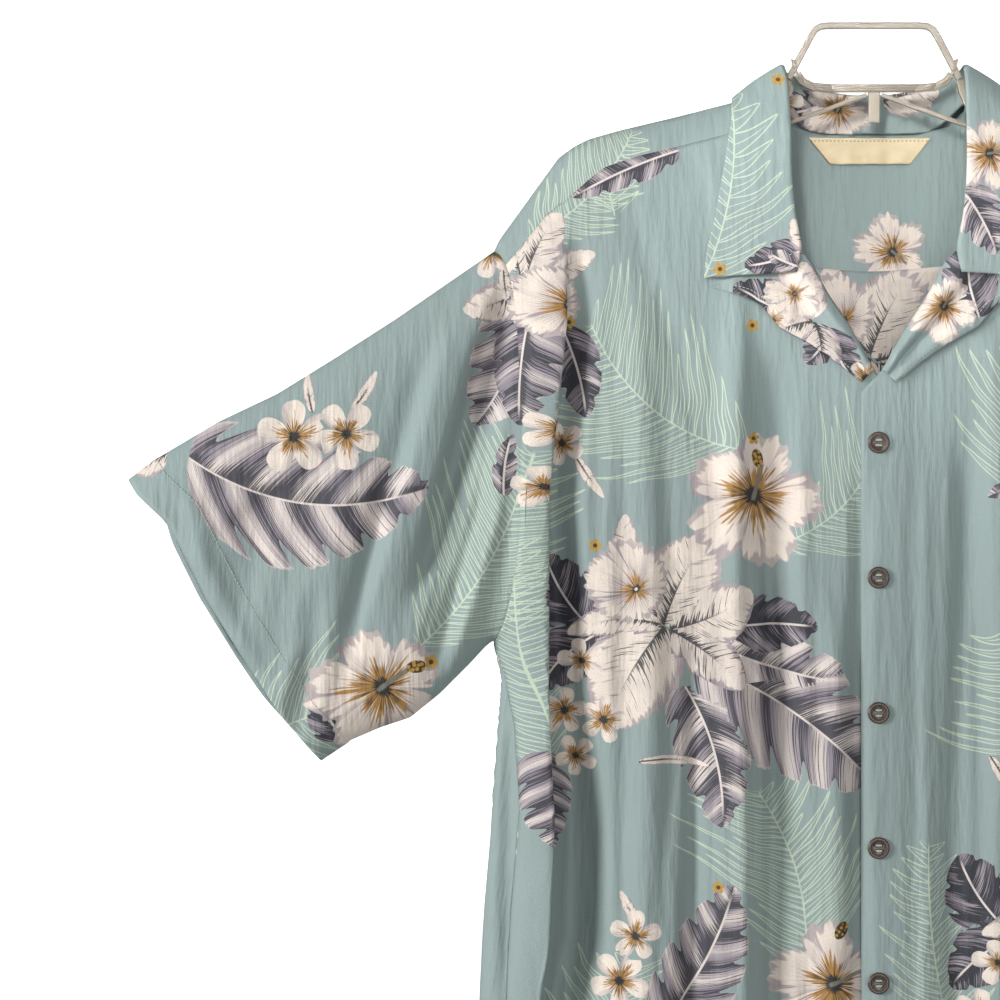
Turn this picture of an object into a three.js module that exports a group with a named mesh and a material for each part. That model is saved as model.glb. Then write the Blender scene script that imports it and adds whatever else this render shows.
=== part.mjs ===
// A short-sleeved aloha shirt with a camp collar, hanging on a clear plastic clothes hanger.
// Millimetres, +Z up, +X to the viewer's right, the front faces -Y. The origin is where the hanger
// hangs, on the inside of the top of its loop. The wearer's right side lies at negative X.
import * as THREE from "three";

// Driving sizes
const WALL = 1.2; // cloth wall
const SEAM = 0.35; // gap between two pieces at a seam
const HALF_DEPTH = 20; // half of the garment's thickness away from its edges
const NECK_EXTRA = 6; // added to that half round the neck, which the collar holds open
const EDGE_ROUND = 48; // distance from an edge over which the thickness builds up
const NECK = { z: -75, spreadX: 70, spreadZ: 60 };
const HEM_Z = -869;
const OVERLAP = 12; // the right front runs this far past the centre, under the left front
const OVERLAP_STEP = 2; // how far the left front stands off the right front there
const STEP_EDGE = { x: 28, z: -222, over: 14 }; // where that step ends, and its run-out
const LAPEL_LIFT = 2; // outside of the turned-back lapel over the outside of the front
const LAPEL_PUFF = 2.2; // how far its soft roll stands up beside the roll line
const COLLAR_WALL = 1.6; // two plies
const COLLAR_ROLL = 1.8; // radius of the collar's fold line
const COLLAR_BOW = 1.2; // how far the leaf bows out between its fold and its edge
const LABEL = { top: 44, bottom: 29, topZ: -74, height: 19, wall: 1, wave: 1.2, waves: 11 };
const BUTTON = { radius: 7.7, thick: 2.2, first: -293, pitch: 94.5, count: 6, hole: 1, holeAt: 1.9 };
const HANGER = { thick: 5, bar: 5.5, loop: 4.5, brace: 3, post: 8, seat: 6.7 };

const CLOTH = { color: 0x93b3ae, roughness: 0.72, metalness: 0, side: THREE.DoubleSide };

// The outline seen from the front, on the wearer's right. Inside lies to the left of each run.
const SHOULDER = [
  { x: -70, z: -44 },
  { x: -100, z: -52 },
  { x: -139, z: -62 },
  { x: -181, z: -72 },
  { x: -202, z: -78 },
  { x: -212, z: -83 },
  { x: -223, z: -91 },
  { x: -244, z: -120 },
  { x: -265, z: -149 },
  { x: -269, z: -157.5 },
];
const SLEEVE_TOP = [
  { x: -269, z: -157.5 },
  { x: -296, z: -176 },
  { x: -338, z: -205 },
  { x: -380, z: -232 },
  { x: -422, z: -258 },
  { x: -464, z: -278 },
  { x: -506, z: -303 },
  { x: -527, z: -319 },
];
const SLEEVE_UNDER = [
  { x: -391, z: -517 },
  { x: -370, z: -503 },
  { x: -349, z: -494 },
  { x: -328, z: -487 },
  { x: -307, z: -470 },
  { x: -286, z: -449 },
  { x: -275, z: -437 },
  { x: -270, z: -433 },
];
const BODY_SIDE = [
  { x: -270, z: -433 },
  { x: -264, z: -459 },
  { x: -267, z: -498 },
  { x: -271, z: -550 },
  { x: -276, z: -617 },
  { x: -279, z: -676 },
  { x: -283, z: -869 },
];
const CLOSED_EDGES = [SHOULDER, SLEEVE_TOP, SLEEVE_UNDER, BODY_SIDE];

// Seams and free edges of the same side
const SLEEVE_HEM = [
  { z: -319, x: -527 },
  { z: -330, x: -519 },
  { z: -351, x: -496 },
  { z: -361, x: -491 },
  { z: -403, x: -470 },
  { z: -445, x: -444 },
  { z: -487, x: -416 },
  { z: -517, x: -391 },
];
// Every piece that meets the armhole has a point at each of these rows
const ARMHOLE = [
  { z: -157.5, x: -269 },
  { z: -160, x: -266 },
  { z: -163.5, x: -263 },
  { z: -168, x: -260.5 },
  { z: -175, x: -258 },
  { z: -188, x: -255.5 },
  { z: -205, x: -253.5 },
  { z: -222, x: -252 },
  { z: -245, x: -251 },
  { z: -270, x: -250.5 },
  { z: -298, x: -250.3 },
  { z: -325, x: -250.6 },
  { z: -352, x: -251.5 },
  { z: -378, x: -253.5 },
  { z: -400, x: -257 },
  { z: -416, x: -261 },
  { z: -425, x: -264.5 },
  { z: -430.5, x: -267.5 },
  { z: -433, x: -269.5 },
];
const ARMHOLE_FRONT_ROW = 3; // the yoke's front seam ends at this row of the armhole
const ARMHOLE_BACK_ROW = 7; // and its back seam at this one
const BELOW_ARM = [-459, -500, -550, -605, -665, -730, -800, -869];
// How far the back comes round the side before the side seam
const SIDE_WRAP = [
  { z: -433, wrap: 0 },
  { z: -463, wrap: 4 },
  { z: -491, wrap: 12 },
  { z: -550, wrap: 20 },
  { z: -660, wrap: 19 },
  { z: -869, wrap: 21 },
];
// The yoke's free edge: past is the distance past the shoulder fold, negative in front of it
const YOKE_EDGE = [
  { at: 0, x: -260.5, past: -25.2 },
  { at: 0.1, x: -231, past: -30 },
  { at: 0.14, x: -220, past: -36 },
  { at: 0.19, x: -206, past: -32 },
  { at: 0.25, x: -191, past: -25 },
  { at: 0.33, x: -166, past: -23 },
  { at: 0.52, x: -107, past: -23 },
  { at: 0.62, x: -73, past: -24 },
  { at: 0.66, x: -73, past: -12 },
  { at: 0.7, x: -72, past: 1 },
  { at: 0.75, x: -66, past: 12 },
  { at: 0.8, x: -57, past: 22 },
  { at: 0.88, x: -34, past: 28 },
  { at: 1, x: 0, past: 28 },
];
const BACK_SEAM = { top: -170, drop: 52, reach: 252, dip: 5, dipWidth: 45 };
// The front's neckline under the collar, then the line where the lapel rolls back
const NECK_EDGE = [
  { at: 0.64, x: -73, z: -69 },
  { at: 0.67, x: -68.5, z: -100 },
  { at: 0.7, x: -67, z: -130 },
  { at: 0.74, x: -62, z: -152 },
  { at: 0.78, x: -49.5, z: -163 },
  { at: 0.83, x: -34, z: -190 },
  { at: 0.88, x: -21, z: -209 },
  { at: 0.94, x: -2, z: -243 },
  { at: 1, x: 12, z: -258 },
];
const LAPEL = [
  { rollX: -54, rollZ: -159, edgeX: -118, edgeZ: -184 },
  { rollX: -47, rollZ: -166, edgeX: -98, edgeZ: -190 },
  { rollX: -40, rollZ: -179, edgeX: -82, edgeZ: -197 },
  { rollX: -33, rollZ: -192, edgeX: -70, edgeZ: -212 },
  { rollX: -20, rollZ: -211, edgeX: -48, edgeZ: -224 },
  { rollX: -10, rollZ: -228, edgeX: -28, edgeZ: -238 },
  { rollX: -3, rollZ: -242, edgeX: -12, edgeZ: -251 },
];

// Folds of the cloth: a line from top to foot, its half widths to the viewer's left and right, and
// how far it stands out. fade is the length over which it dies away at each end.
const FRONT_FOLDS = [
  { x0: -205, z0: -150, x1: -203, z1: -950, left: 24, right: 40, out: -11, fade: 60 },
  { x0: -232, z0: -170, x1: -238, z1: -950, left: 17, right: 15, out: 7, fade: 70 },
  { x0: -168, z0: -210, x1: -156, z1: -950, left: 22, right: 22, out: 5, fade: 90 },
  { x0: -130, z0: -420, x1: -133, z1: -950, left: 16, right: 18, out: -5, fade: 90 },
  { x0: -92, z0: -215, x1: -94, z1: -950, left: 18, right: 18, out: 5, fade: 60 },
  { x0: -74, z0: -260, x1: -66, z1: -950, left: 18, right: 20, out: -5, fade: 60 },
  { x0: -30, z0: -420, x1: -34, z1: -950, left: 16, right: 14, out: 4, fade: 90 },
  { x0: 198, z0: -160, x1: 207, z1: -950, left: 38, right: 24, out: -10, fade: 60 },
  { x0: 230, z0: -180, x1: 237, z1: -950, left: 15, right: 18, out: 6, fade: 70 },
  { x0: 160, z0: -230, x1: 150, z1: -950, left: 22, right: 22, out: 5, fade: 90 },
  { x0: 118, z0: -380, x1: 124, z1: -950, left: 18, right: 16, out: -5, fade: 90 },
  { x0: 84, z0: -230, x1: 90, z1: -950, left: 18, right: 18, out: 5, fade: 60 },
  { x0: 60, z0: -300, x1: 54, z1: -950, left: 16, right: 18, out: -4, fade: 70 },
];
const BACK_FOLDS = [
  { x0: -190, z0: -230, x1: -196, z1: -950, left: 34, right: 34, out: -8, fade: 80 },
  { x0: -140, z0: -260, x1: -128, z1: -950, left: 26, right: 26, out: 7, fade: 90 },
  { x0: -78, z0: -300, x1: -70, z1: -950, left: 26, right: 28, out: -6, fade: 110 },
  { x0: -18, z0: -230, x1: -12, z1: -950, left: 26, right: 26, out: 6, fade: 90 },
  { x0: 44, z0: -280, x1: 52, z1: -950, left: 26, right: 26, out: -6, fade: 110 },
  { x0: 104, z0: -250, x1: 112, z1: -950, left: 26, right: 28, out: 6, fade: 90 },
  { x0: 182, z0: -230, x1: 190, z1: -950, left: 36, right: 32, out: -8, fade: 80 },
];
const SLEEVE_FOLDS = [
  { x0: -274, z0: -200, x1: -330, z1: -390, left: 20, right: 26, out: -5, fade: 50 },
  { x0: -262, z0: -300, x1: -292, z1: -430, left: 16, right: 18, out: 4, fade: 40 },
  { x0: -360, z0: -300, x1: -400, z1: -440, left: 30, right: 30, out: 4, fade: 60 },
  { x0: -430, z0: -320, x1: -450, z1: -400, left: 24, right: 22, out: -3, fade: 40 },
];

// Guide points of the collar from its front corner to the middle of the back: where it is sewn to
// the neckline, its fold line, and the free edge of the leaf
const COLLAR = [
  { seam: [-60.5, -23.6, -166], fold: [-58, -26, -174], edge: [-122, -23.6, -178] },
  { seam: [-62, -23.4, -150], fold: [-55, -26.2, -156], edge: [-120, -23.4, -158] },
  { seam: [-63, -22.6, -130], fold: [-59, -26, -134], edge: [-114, -22.2, -134] },
  { seam: [-66.8, -22, -100], fold: [-61.5, -26.3, -106], edge: [-109, -22.2, -106] },
  { seam: [-70.8, -18.8, -72], fold: [-62, -24, -74], edge: [-104, -19.2, -76] },
  { seam: [-71, -10.5, -55], fold: [-63, -13, -42], edge: [-102, -14.6, -62] },
  { seam: [-70.6, 0, -42.8], fold: [-64, 0, -27], edge: [-100, 0, -49.2] },
  { seam: [-68.6, 8.6, -47], fold: [-61, 9, -30], edge: [-98, 12.4, -57] },
  { seam: [-63.6, 13.6, -53.4], fold: [-54, 16, -36], edge: [-88, 20.4, -72] },
  { seam: [-45.5, 22.2, -68.2], fold: [-40, 25, -45], edge: [-58, 25.6, -100] },
  { seam: [-22, 24.6, -71.1], fold: [-20, 27.5, -50.5], edge: [-28, 27.4, -107] },
  { seam: [0, 25.2, -71.1], fold: [0, 28.5, -52], edge: [0, 27.6, -110] },
];

const smooth = (t) => THREE.MathUtils.smoothstep(t, 0, 1);
const mix = THREE.MathUtils.lerp;

// The value in one column of a table where another column, sorted either way, equals `at`
function read(table, key, at, column) {
  const rising = table[table.length - 1][key] > table[0][key];
  for (let i = 1; i < table.length; i++) {
    const [a, b] = [table[i - 1], table[i]];
    const inside = rising ? at <= b[key] : at >= b[key];
    if (inside || i === table.length - 1) {
      return mix(a[column], b[column], (at - a[key]) / (b[key] - a[key]));
    }
  }
}

const shoulderZ = (x) => (x > SHOULDER[0].x ? SHOULDER[0].z : read(SHOULDER, "x", x, "z"));

// Distance from the nearest closed edge, and the direction away from it
function fromEdge(x, z) {
  let best = { distance: Infinity };
  for (const line of CLOSED_EDGES) {
    for (let i = 1; i < line.length; i++) {
      const [a, b] = [line[i - 1], line[i]];
      const run = { x: b.x - a.x, z: b.z - a.z };
      const square = run.x * run.x + run.z * run.z;
      const t = THREE.MathUtils.clamp(((x - a.x) * run.x + (z - a.z) * run.z) / square, 0, 1);
      const away = { x: x - a.x - t * run.x, z: z - a.z - t * run.z };
      const distance = Math.hypot(away.x, away.z);
      if (distance < best.distance) {
        const inward = { x: -run.z / Math.sqrt(square), z: run.x / Math.sqrt(square) };
        const onLine = distance < 0.01;
        best = {
          distance,
          x: onLine ? inward.x : away.x / distance,
          z: onLine ? inward.z : away.z / distance,
        };
      }
    }
  }
  return best;
}

function foldsAt(folds, x, z) {
  let out = 0;
  for (const f of folds) {
    const length = Math.hypot(f.x1 - f.x0, f.z1 - f.z0);
    const run = { x: (f.x1 - f.x0) / length, z: (f.z1 - f.z0) / length };
    const along = (x - f.x0) * run.x + (z - f.z0) * run.z;
    const across = (z - f.z0) * run.x - (x - f.x0) * run.z;
    const width = across < 0 ? f.left : f.right;
    const side = smooth(1 - Math.abs(across) / width);
    const ends = smooth(0.5 + along / f.fade) * smooth(0.5 + (length - along) / f.fade);
    out += f.out * side * ends;
  }
  return out;
}

const leftOnTop = (x, z) =>
  OVERLAP_STEP *
  smooth((STEP_EDGE.x - x) / STEP_EDGE.over) *
  smooth((STEP_EDGE.z - z) / STEP_EDGE.over);

// How far the outside of the cloth lies from the middle plane, at one place of one layer.
// x is that of the real side, so the left half can have folds of its own.
function foldSum(layer, x, z) {
  if (layer === "back") return foldsAt(BACK_FOLDS, x, z) + foldsAt(SLEEVE_FOLDS, -Math.abs(x), z);
  const front = foldsAt(FRONT_FOLDS, x, z) + foldsAt(SLEEVE_FOLDS, -Math.abs(x), z);
  return layer === "frontLeft" ? front + leftOnTop(x, z) : front;
}

// A place on the outside of the cloth and its outward normal
function onCloth(layer, x, z, lift = 0) {
  const edge = fromEdge(-Math.abs(x), z);
  const near = 1 - Math.min(edge.distance / EDGE_ROUND, 1);
  const neck = Math.exp(-((x / NECK.spreadX) ** 2) - ((z - NECK.z) / NECK.spreadZ) ** 2);
  const half = HALF_DEPTH + NECK_EXTRA * neck;
  const flat = Math.sqrt(Math.max(1 - near * near, 0));
  const sign = layer === "back" ? 1 : -1;
  const step = 1;
  const slopeX = (foldSum(layer, x + step, z) - foldSum(layer, x - step, z)) / (2 * step);
  const slopeZ = (foldSum(layer, x, z + step) - foldSum(layer, x, z - step)) / (2 * step);
  const rise = (half * near) / EDGE_ROUND;
  const awayX = x > 0 ? -edge.x : edge.x;
  const normal = new THREE.Vector3(
    -awayX * rise - slopeX * flat * flat,
    sign * flat,
    -edge.z * rise - slopeZ * flat * flat,
  ).normalize();
  const out = half * flat + foldSum(layer, x, z) * flat;
  return { point: new THREE.Vector3(x, sign * out, z).addScaledVector(normal, lift), normal };
}

// A closed wall from a grid of outer and inner points. A ring row closes on itself.
function wall(outer, inner, ring = false) {
  const rows = outer.length;
  const columns = outer[0].length;
  const points = [...outer.flat(), ...inner.flat()];
  const inside = rows * columns;
  const at = (i, j) => i * columns + (j % columns);
  const faces = [];
  const quad = (a, b, c, d) => faces.push(a, b, c, a, c, d);
  const across = ring ? columns : columns - 1;
  for (let i = 0; i < rows - 1; i++) {
    for (let j = 0; j < across; j++) {
      quad(at(i, j), at(i, j + 1), at(i + 1, j + 1), at(i + 1, j));
      quad(inside + at(i, j), inside + at(i + 1, j), inside + at(i + 1, j + 1), inside + at(i, j + 1));
    }
  }
  for (let j = 0; j < across; j++) {
    const end = rows - 1;
    quad(at(0, j + 1), at(0, j), inside + at(0, j), inside + at(0, j + 1));
    quad(at(end, j), at(end, j + 1), inside + at(end, j + 1), inside + at(end, j));
  }
  if (!ring) {
    for (let i = 0; i < rows - 1; i++) {
      const end = columns - 1;
      quad(at(i, 0), at(i + 1, 0), inside + at(i + 1, 0), inside + at(i, 0));
      quad(at(i + 1, end), at(i, end), inside + at(i, end), inside + at(i + 1, end));
    }
  }
  let volume = 0;
  for (let k = 0; k < faces.length; k += 3) {
    const [a, b, c] = [points[faces[k]], points[faces[k + 1]], points[faces[k + 2]]];
    volume += a.dot(b.clone().cross(c));
  }
  const geometry = new THREE.BufferGeometry().setFromPoints(points);
  geometry.setIndex(volume < 0 ? faces.reverse() : faces);
  geometry.computeVertexNormals();
  return geometry;
}

// A wall on the cloth's outside: place(i, j) gives the layer and the place of one grid point
function panel(rows, columns, place, { thick = WALL, ring = false } = {}) {
  const outer = [];
  const inner = [];
  for (let i = 0; i < rows; i++) {
    const made = [];
    for (let j = 0; j < columns; j++) {
      const { layer, x, z, lift = 0 } = place(i, j);
      made.push(onCloth(layer, x, z, lift));
    }
    outer.push(made.map((m) => m.point));
    inner.push(made.map((m) => m.point.clone().addScaledVector(m.normal, -thick)));
  }
  return wall(outer, inner, ring);
}

// A patch between four edges, each a function of its own 0 to 1, that meet at the corners
function patch(left, right, low, high) {
  return (u, v) => {
    const blend = (key) =>
      mix(left(v)[key], right(v)[key], u) +
      mix(low(u)[key], high(u)[key], v) -
      mix(mix(left(0)[key], right(0)[key], u), mix(left(1)[key], right(1)[key], u), v);
    return { x: blend("x"), z: blend("z") };
  };
}

const shirt = new THREE.Group();

function add(name, geometry, finish = CLOTH) {
  const mesh = new THREE.Mesh(geometry, new THREE.MeshStandardMaterial(finish));
  mesh.name = name;
  shirt.add(mesh);
  return mesh;
}

const backSeamZ = (x) => {
  const side = BACK_SEAM.drop * (Math.abs(x) / BACK_SEAM.reach) ** 4;
  return BACK_SEAM.top - side - BACK_SEAM.dip * Math.exp(-((x / BACK_SEAM.dipWidth) ** 2));
};

// Fronts: from the side seam and the armhole to the front edge, up to the yoke and the roll line
const SHARED_COLUMNS = [
  0, 0.04, 0.08, 0.11, 0.14, 0.19, 0.25, 0.29, 0.33, 0.38, 0.43, 0.475, 0.52, 0.57, 0.62,
];
const FRONT_COLUMNS = [...SHARED_COLUMNS, ...NECK_EDGE.map((row) => row.at)];
const FRONT_SIDE = [
  ...ARMHOLE.slice(ARMHOLE_FRONT_ROW),
  ...BELOW_ARM.map((z) => ({
    z,
    x: read(BODY_SIDE, "z", z, "x") + read(SIDE_WRAP, "z", z, "wrap"),
  })),
];

function yokeEdge(at) {
  const x = read(YOKE_EDGE, "at", at, "x");
  return { x, past: read(YOKE_EDGE, "at", at, "past") };
}

function frontTop(at) {
  if (at > SHARED_COLUMNS[SHARED_COLUMNS.length - 1]) {
    return { x: read(NECK_EDGE, "at", at, "x"), z: read(NECK_EDGE, "at", at, "z") };
  }
  const edge = yokeEdge(at);
  return { x: edge.x, z: shoulderZ(edge.x) + edge.past - SEAM };
}

function front(mirror) {
  const rows = FRONT_SIDE.length;
  const top = FRONT_SIDE[0];
  const foot = NECK_EDGE[NECK_EDGE.length - 1].z;
  const frontEdge = mirror > 0 ? OVERLAP : OVERLAP - 1;
  const reach = (z) => (z - HEM_Z) / (top.z - HEM_Z);
  return panel(rows, FRONT_COLUMNS.length, (i, j) => {
    const u = FRONT_COLUMNS[j];
    const side = FRONT_SIDE[i];
    const v = reach(side.z);
    const head = frontTop(u);
    const headX = u === 1 ? frontEdge : head.x;
    const ruledX = mix(mix(FRONT_SIDE[rows - 1].x, frontEdge, u), headX, v);
    const ruledZ = mix(HEM_Z, head.z, v);
    const straightX = mix(FRONT_SIDE[rows - 1].x, top.x, v);
    return {
      layer: mirror > 0 ? "frontRight" : "frontLeft",
      x: (ruledX + (side.x - straightX + SEAM) * (1 - u) ** 2) * mirror,
      z: Math.max(ruledZ + (side.z - mix(HEM_Z, top.z, v)) * (1 - u), HEM_Z),
    };
  });
}

add("front_right", front(1));
add("front_left", front(-1));

// Back: from one side seam round to the other, up to the yoke's seam
const BACK_COLUMNS = [
  0, 0.02, 0.045, 0.07, 0.1, 0.14, 0.19, 0.25, 0.32, 0.4, 0.48, 0.57, 0.67, 0.78, 0.88, 0.94, 1,
];
const BACK_SIDE = [...ARMHOLE.slice(ARMHOLE_BACK_ROW).map((row) => row.z), ...BELOW_ARM];

function backPlace(share, edgeZ) {
  const arm = edgeZ >= ARMHOLE[ARMHOLE.length - 1].z;
  const edgeX = arm ? read(ARMHOLE, "z", edgeZ, "x") + SEAM : read(BODY_SIDE, "z", edgeZ, "x");
  const wrap = arm ? 0 : read(SIDE_WRAP, "z", edgeZ, "wrap") - SEAM;
  const run = share * (wrap - edgeX) - wrap;
  const x = edgeX + Math.abs(run);
  const top = backSeamZ(x) - SEAM;
  const v = (edgeZ - HEM_Z) / (BACK_SIDE[0] - HEM_Z);
  const z = mix(edgeZ, mix(HEM_Z, top, v), smooth(share * 4));
  return { layer: run < 0 ? "front" : "back", x, z };
}

function back() {
  const half = BACK_COLUMNS.length;
  return panel(BACK_SIDE.length, 2 * half - 1, (i, j) => {
    const mirror = j < half ? 1 : -1;
    const place = backPlace(BACK_COLUMNS[j < half ? j : 2 * half - 2 - j], BACK_SIDE[i]);
    return { ...place, x: place.x * mirror };
  });
}

add("back", back());

// Yoke: from its seam on the front, over the shoulder, to its seam across the back
const YOKE_FOLD_ROW = ARMHOLE_FRONT_ROW;
const YOKE_ROWS = [0, 0.06, 0.115, 0.17, 0.185, 0.205, 0.24, 0.3, 0.42, 0.7, 1];
const YOKE_COLUMNS = [...SHARED_COLUMNS, 0.64, 0.66, 0.68, 0.7, 0.75, 0.8, 0.88, 0.94, 1];

function yokePlace(at, row) {
  const edge = yokeEdge(at);
  const v = YOKE_ROWS[row];
  const foldShare = YOKE_ROWS[YOKE_FOLD_ROW];
  const x = mix(edge.x, mix(ARMHOLE[ARMHOLE_BACK_ROW].x, 0, at), v);
  const foot = shoulderZ(x) - backSeamZ(x);
  const even = mix(edge.past, foot, v);
  const folded =
    v <= foldShare ? edge.past * (1 - v / foldShare) : (foot * (v - foldShare)) / (1 - foldShare);
  return { x, past: mix(folded, even, smooth((edge.past + 23) / 11)) };
}

function yoke() {
  const half = YOKE_COLUMNS.length;
  const side = YOKE_ROWS.map((v, row) => {
    const step = Math.abs(row - YOKE_FOLD_ROW);
    const point = ARMHOLE[step];
    const sign = row < YOKE_FOLD_ROW ? -1 : 1;
    return { x: point.x + SEAM, past: sign * (shoulderZ(point.x) - point.z) };
  });
  return panel(YOKE_ROWS.length, 2 * half - 1, (i, j) => {
    const mirror = j < half ? 1 : -1;
    const at = YOKE_COLUMNS[j < half ? j : 2 * half - 2 - j];
    const place = yokePlace(at, i);
    const first = yokePlace(0, i);
    const pull = (1 - at) ** 6;
    const x = place.x + (side[i].x - first.x) * pull;
    const past = place.past + (side[i].past - first.past) * pull;
    return { layer: past > 0 ? "back" : "front", x: x * mirror, z: shoulderZ(x) - Math.abs(past) };
  });
}

add("yoke", yoke());

// Sleeves: rings from the armhole to the hem, folded along the top, seamed along the underside
function sleeve(mirror) {
  const last = ARMHOLE.length - 1;
  const armFoot = ARMHOLE[last];
  const hemZ = (v) => mix(SLEEVE_HEM[0].z, SLEEVE_HEM[SLEEVE_HEM.length - 1].z, v);
  const shape = patch(
    (v) => {
      const z = mix(ARMHOLE[0].z, armFoot.z, v);
      return { x: read(ARMHOLE, "z", z, "x"), z };
    },
    (v) => ({ x: read(SLEEVE_HEM, "z", hemZ(v), "x"), z: hemZ(v) }),
    (u) => {
      const x = mix(SLEEVE_TOP[0].x, SLEEVE_TOP[SLEEVE_TOP.length - 1].x, u);
      return { x, z: read(SLEEVE_TOP, "x", x, "z") };
    },
    (u) => {
      const x = mix(armFoot.x, SLEEVE_UNDER[0].x, u);
      return { x, z: u === 0 ? armFoot.z : read(SLEEVE_UNDER, "x", x, "z") };
    },
  );
  const rings = 9;
  const round = 2 * last;
  return panel(
    rings,
    round,
    (i, j) => {
      const row = j <= last ? j : round - j;
      const v = (ARMHOLE[row].z - ARMHOLE[0].z) / (armFoot.z - ARMHOLE[0].z);
      const u = i / (rings - 1);
      const place = shape(u, v);
      return {
        layer: j <= last ? "front" : "back",
        x: (place.x - SEAM * (1 - u)) * mirror,
        z: place.z,
      };
    },
    { ring: true },
  );
}

add("sleeve_right", sleeve(1));
add("sleeve_left", sleeve(-1));

// Lapels: the facing turned back along the roll line, softly raised beside it
function lapel(mirror) {
  const rows = 11;
  const across = 9;
  return panel(rows, across, (i, j) => {
    const at = (i / (rows - 1)) * (LAPEL.length - 1);
    const k = Math.min(Math.floor(at), LAPEL.length - 2);
    const column = (name) => mix(LAPEL[k][name], LAPEL[k + 1][name], at - k);
    const share = j / (across - 1);
    return {
      layer: mirror > 0 ? "frontRight" : "frontLeft",
      x: mix(column("rollX"), column("edgeX"), share) * mirror,
      z: mix(column("rollZ"), column("edgeZ"), share),
      lift: LAPEL_LIFT + LAPEL_PUFF * Math.sin(Math.PI * Math.min(share / 0.45, 1)) * smooth(at - 0.8),
    };
  });
}

add("lapel_right", lapel(1));
add("lapel_left", lapel(-1));

// Collar: one folded strip all round the neck
function collar() {
  const rows = [...COLLAR, ...COLLAR.slice(0, -1).reverse().map((row) => mirrored(row))];
  const guide = (name) => new THREE.CatmullRomCurve3(rows.map((row) => new THREE.Vector3(...row[name])));
  const [seam, fold, edge] = ["seam", "fold", "edge"].map(guide);
  const sections = 31;
  const outer = [];
  const inner = [];
  for (let i = 0; i < sections; i++) {
    const t = i / (sections - 1);
    const [s, f, e] = [seam, fold, edge].map((curve) => curve.getPoint(t));
    const a = f.clone().sub(e).normalize();
    const out = a.clone().cross(fold.getTangent(t)).normalize();
    const centre = f.clone().addScaledVector(a, -COLLAR_ROLL);
    const middle = [s];
    for (let k = -2; k <= 2; k++) {
      const angle = (k * Math.PI) / 4;
      const swing = a.clone().multiplyScalar(Math.cos(angle)).addScaledVector(out, Math.sin(angle));
      middle.push(centre.clone().addScaledVector(swing, COLLAR_ROLL));
    }
    const start = middle[middle.length - 1];
    for (const share of [0.2, 0.45, 0.72, 1]) {
      const bow = COLLAR_BOW * Math.sin(Math.PI * share);
      middle.push(start.clone().lerp(e, share).addScaledVector(out, bow));
    }
    middle.splice(1, 0, s.clone().lerp(middle[1], 0.5));
    const turned = middle.map((p, k) => {
      const before = middle[Math.max(k - 1, 0)];
      const after = middle[Math.min(k + 1, middle.length - 1)];
      return after.clone().sub(before).cross(fold.getTangent(t)).normalize();
    });
    outer.push(middle.map((p, k) => p.clone().addScaledVector(turned[k], COLLAR_WALL / 2)));
    inner.push(middle.map((p, k) => p.clone().addScaledVector(turned[k], -COLLAR_WALL / 2)));
  }
  return wall(outer, inner);
}

function mirrored(row) {
  const flip = ([x, y, z]) => [-x, y, z];
  return { seam: flip(row.seam), fold: flip(row.fold), edge: flip(row.edge) };
}

add("collar", collar());

// Label: a blank woven tab sewn inside the back of the neck, its lower edge waving
function label() {
  const columns = 15;
  const rows = 4;
  const lift = -WALL - 3 * SEAM;
  return panel(
    rows,
    columns,
    (i, j) => {
      const down = i / (rows - 1);
      const share = (2 * j) / (columns - 1) - 1;
      const wave = LABEL.wave * Math.sin(share * LABEL.waves) * down;
      return {
        layer: "back",
        x: share * mix(LABEL.top, LABEL.bottom, down),
        z: LABEL.topZ - LABEL.height * down,
        lift: lift - LABEL.wave * down - wave,
      };
    },
    { thick: LABEL.wall },
  );
}

add("neck_label", label(), { color: 0xd9cba6, roughness: 0.8, metalness: 0, side: THREE.DoubleSide });

// Buttons: coconut shell, four holes, down the centre of the left front
function button() {
  const face = new THREE.Shape();
  const edge = 0.4;
  const ring = (x, y, radius, count, turn) =>
    Array.from({ length: count }, (_, k) => {
      const angle = (turn * k * 2 * Math.PI) / count;
      return new THREE.Vector2(x + radius * Math.cos(angle), y + radius * Math.sin(angle));
    });
  face.setFromPoints(ring(0, 0, BUTTON.radius - edge, 20, 1));
  for (const [x, y] of [[1, 1], [-1, 1], [-1, -1], [1, -1]]) {
    const hole = ring(x * BUTTON.holeAt, y * BUTTON.holeAt, BUTTON.hole + edge, 5, -1);
    face.holes.push(new THREE.Path(hole));
  }
  const geometry = new THREE.ExtrudeGeometry(face, {
    depth: BUTTON.thick - 2 * edge,
    bevelThickness: edge,
    bevelSize: edge,
    bevelSegments: 1,
  });
  return geometry.translate(0, 0, edge - BUTTON.thick).rotateX(-Math.PI / 2);
}

for (let i = 0; i < BUTTON.count; i++) {
  const z = BUTTON.first - i * BUTTON.pitch;
  let stand = 0;
  for (const dx of [-1, 0, 1]) {
    for (const dz of [-1, 0, 1]) {
      const at = onCloth("frontLeft", dx * BUTTON.radius, z + dz * BUTTON.radius);
      stand = Math.max(stand, -at.point.y);
    }
  }
  const finish = { color: 0x2a211d, roughness: 0.45, metalness: 0 };
  const mesh = add(`button_${i + 1}`, button(), finish);
  mesh.position.set(0, -stand - SEAM, z);
}

// Hanger: one clear moulding in its own plane. The loop's inside top is the origin.
const PLASTIC = { color: 0xeceae2, roughness: 0.12, metalness: 0, transparent: true, opacity: 0.45 };

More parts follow.
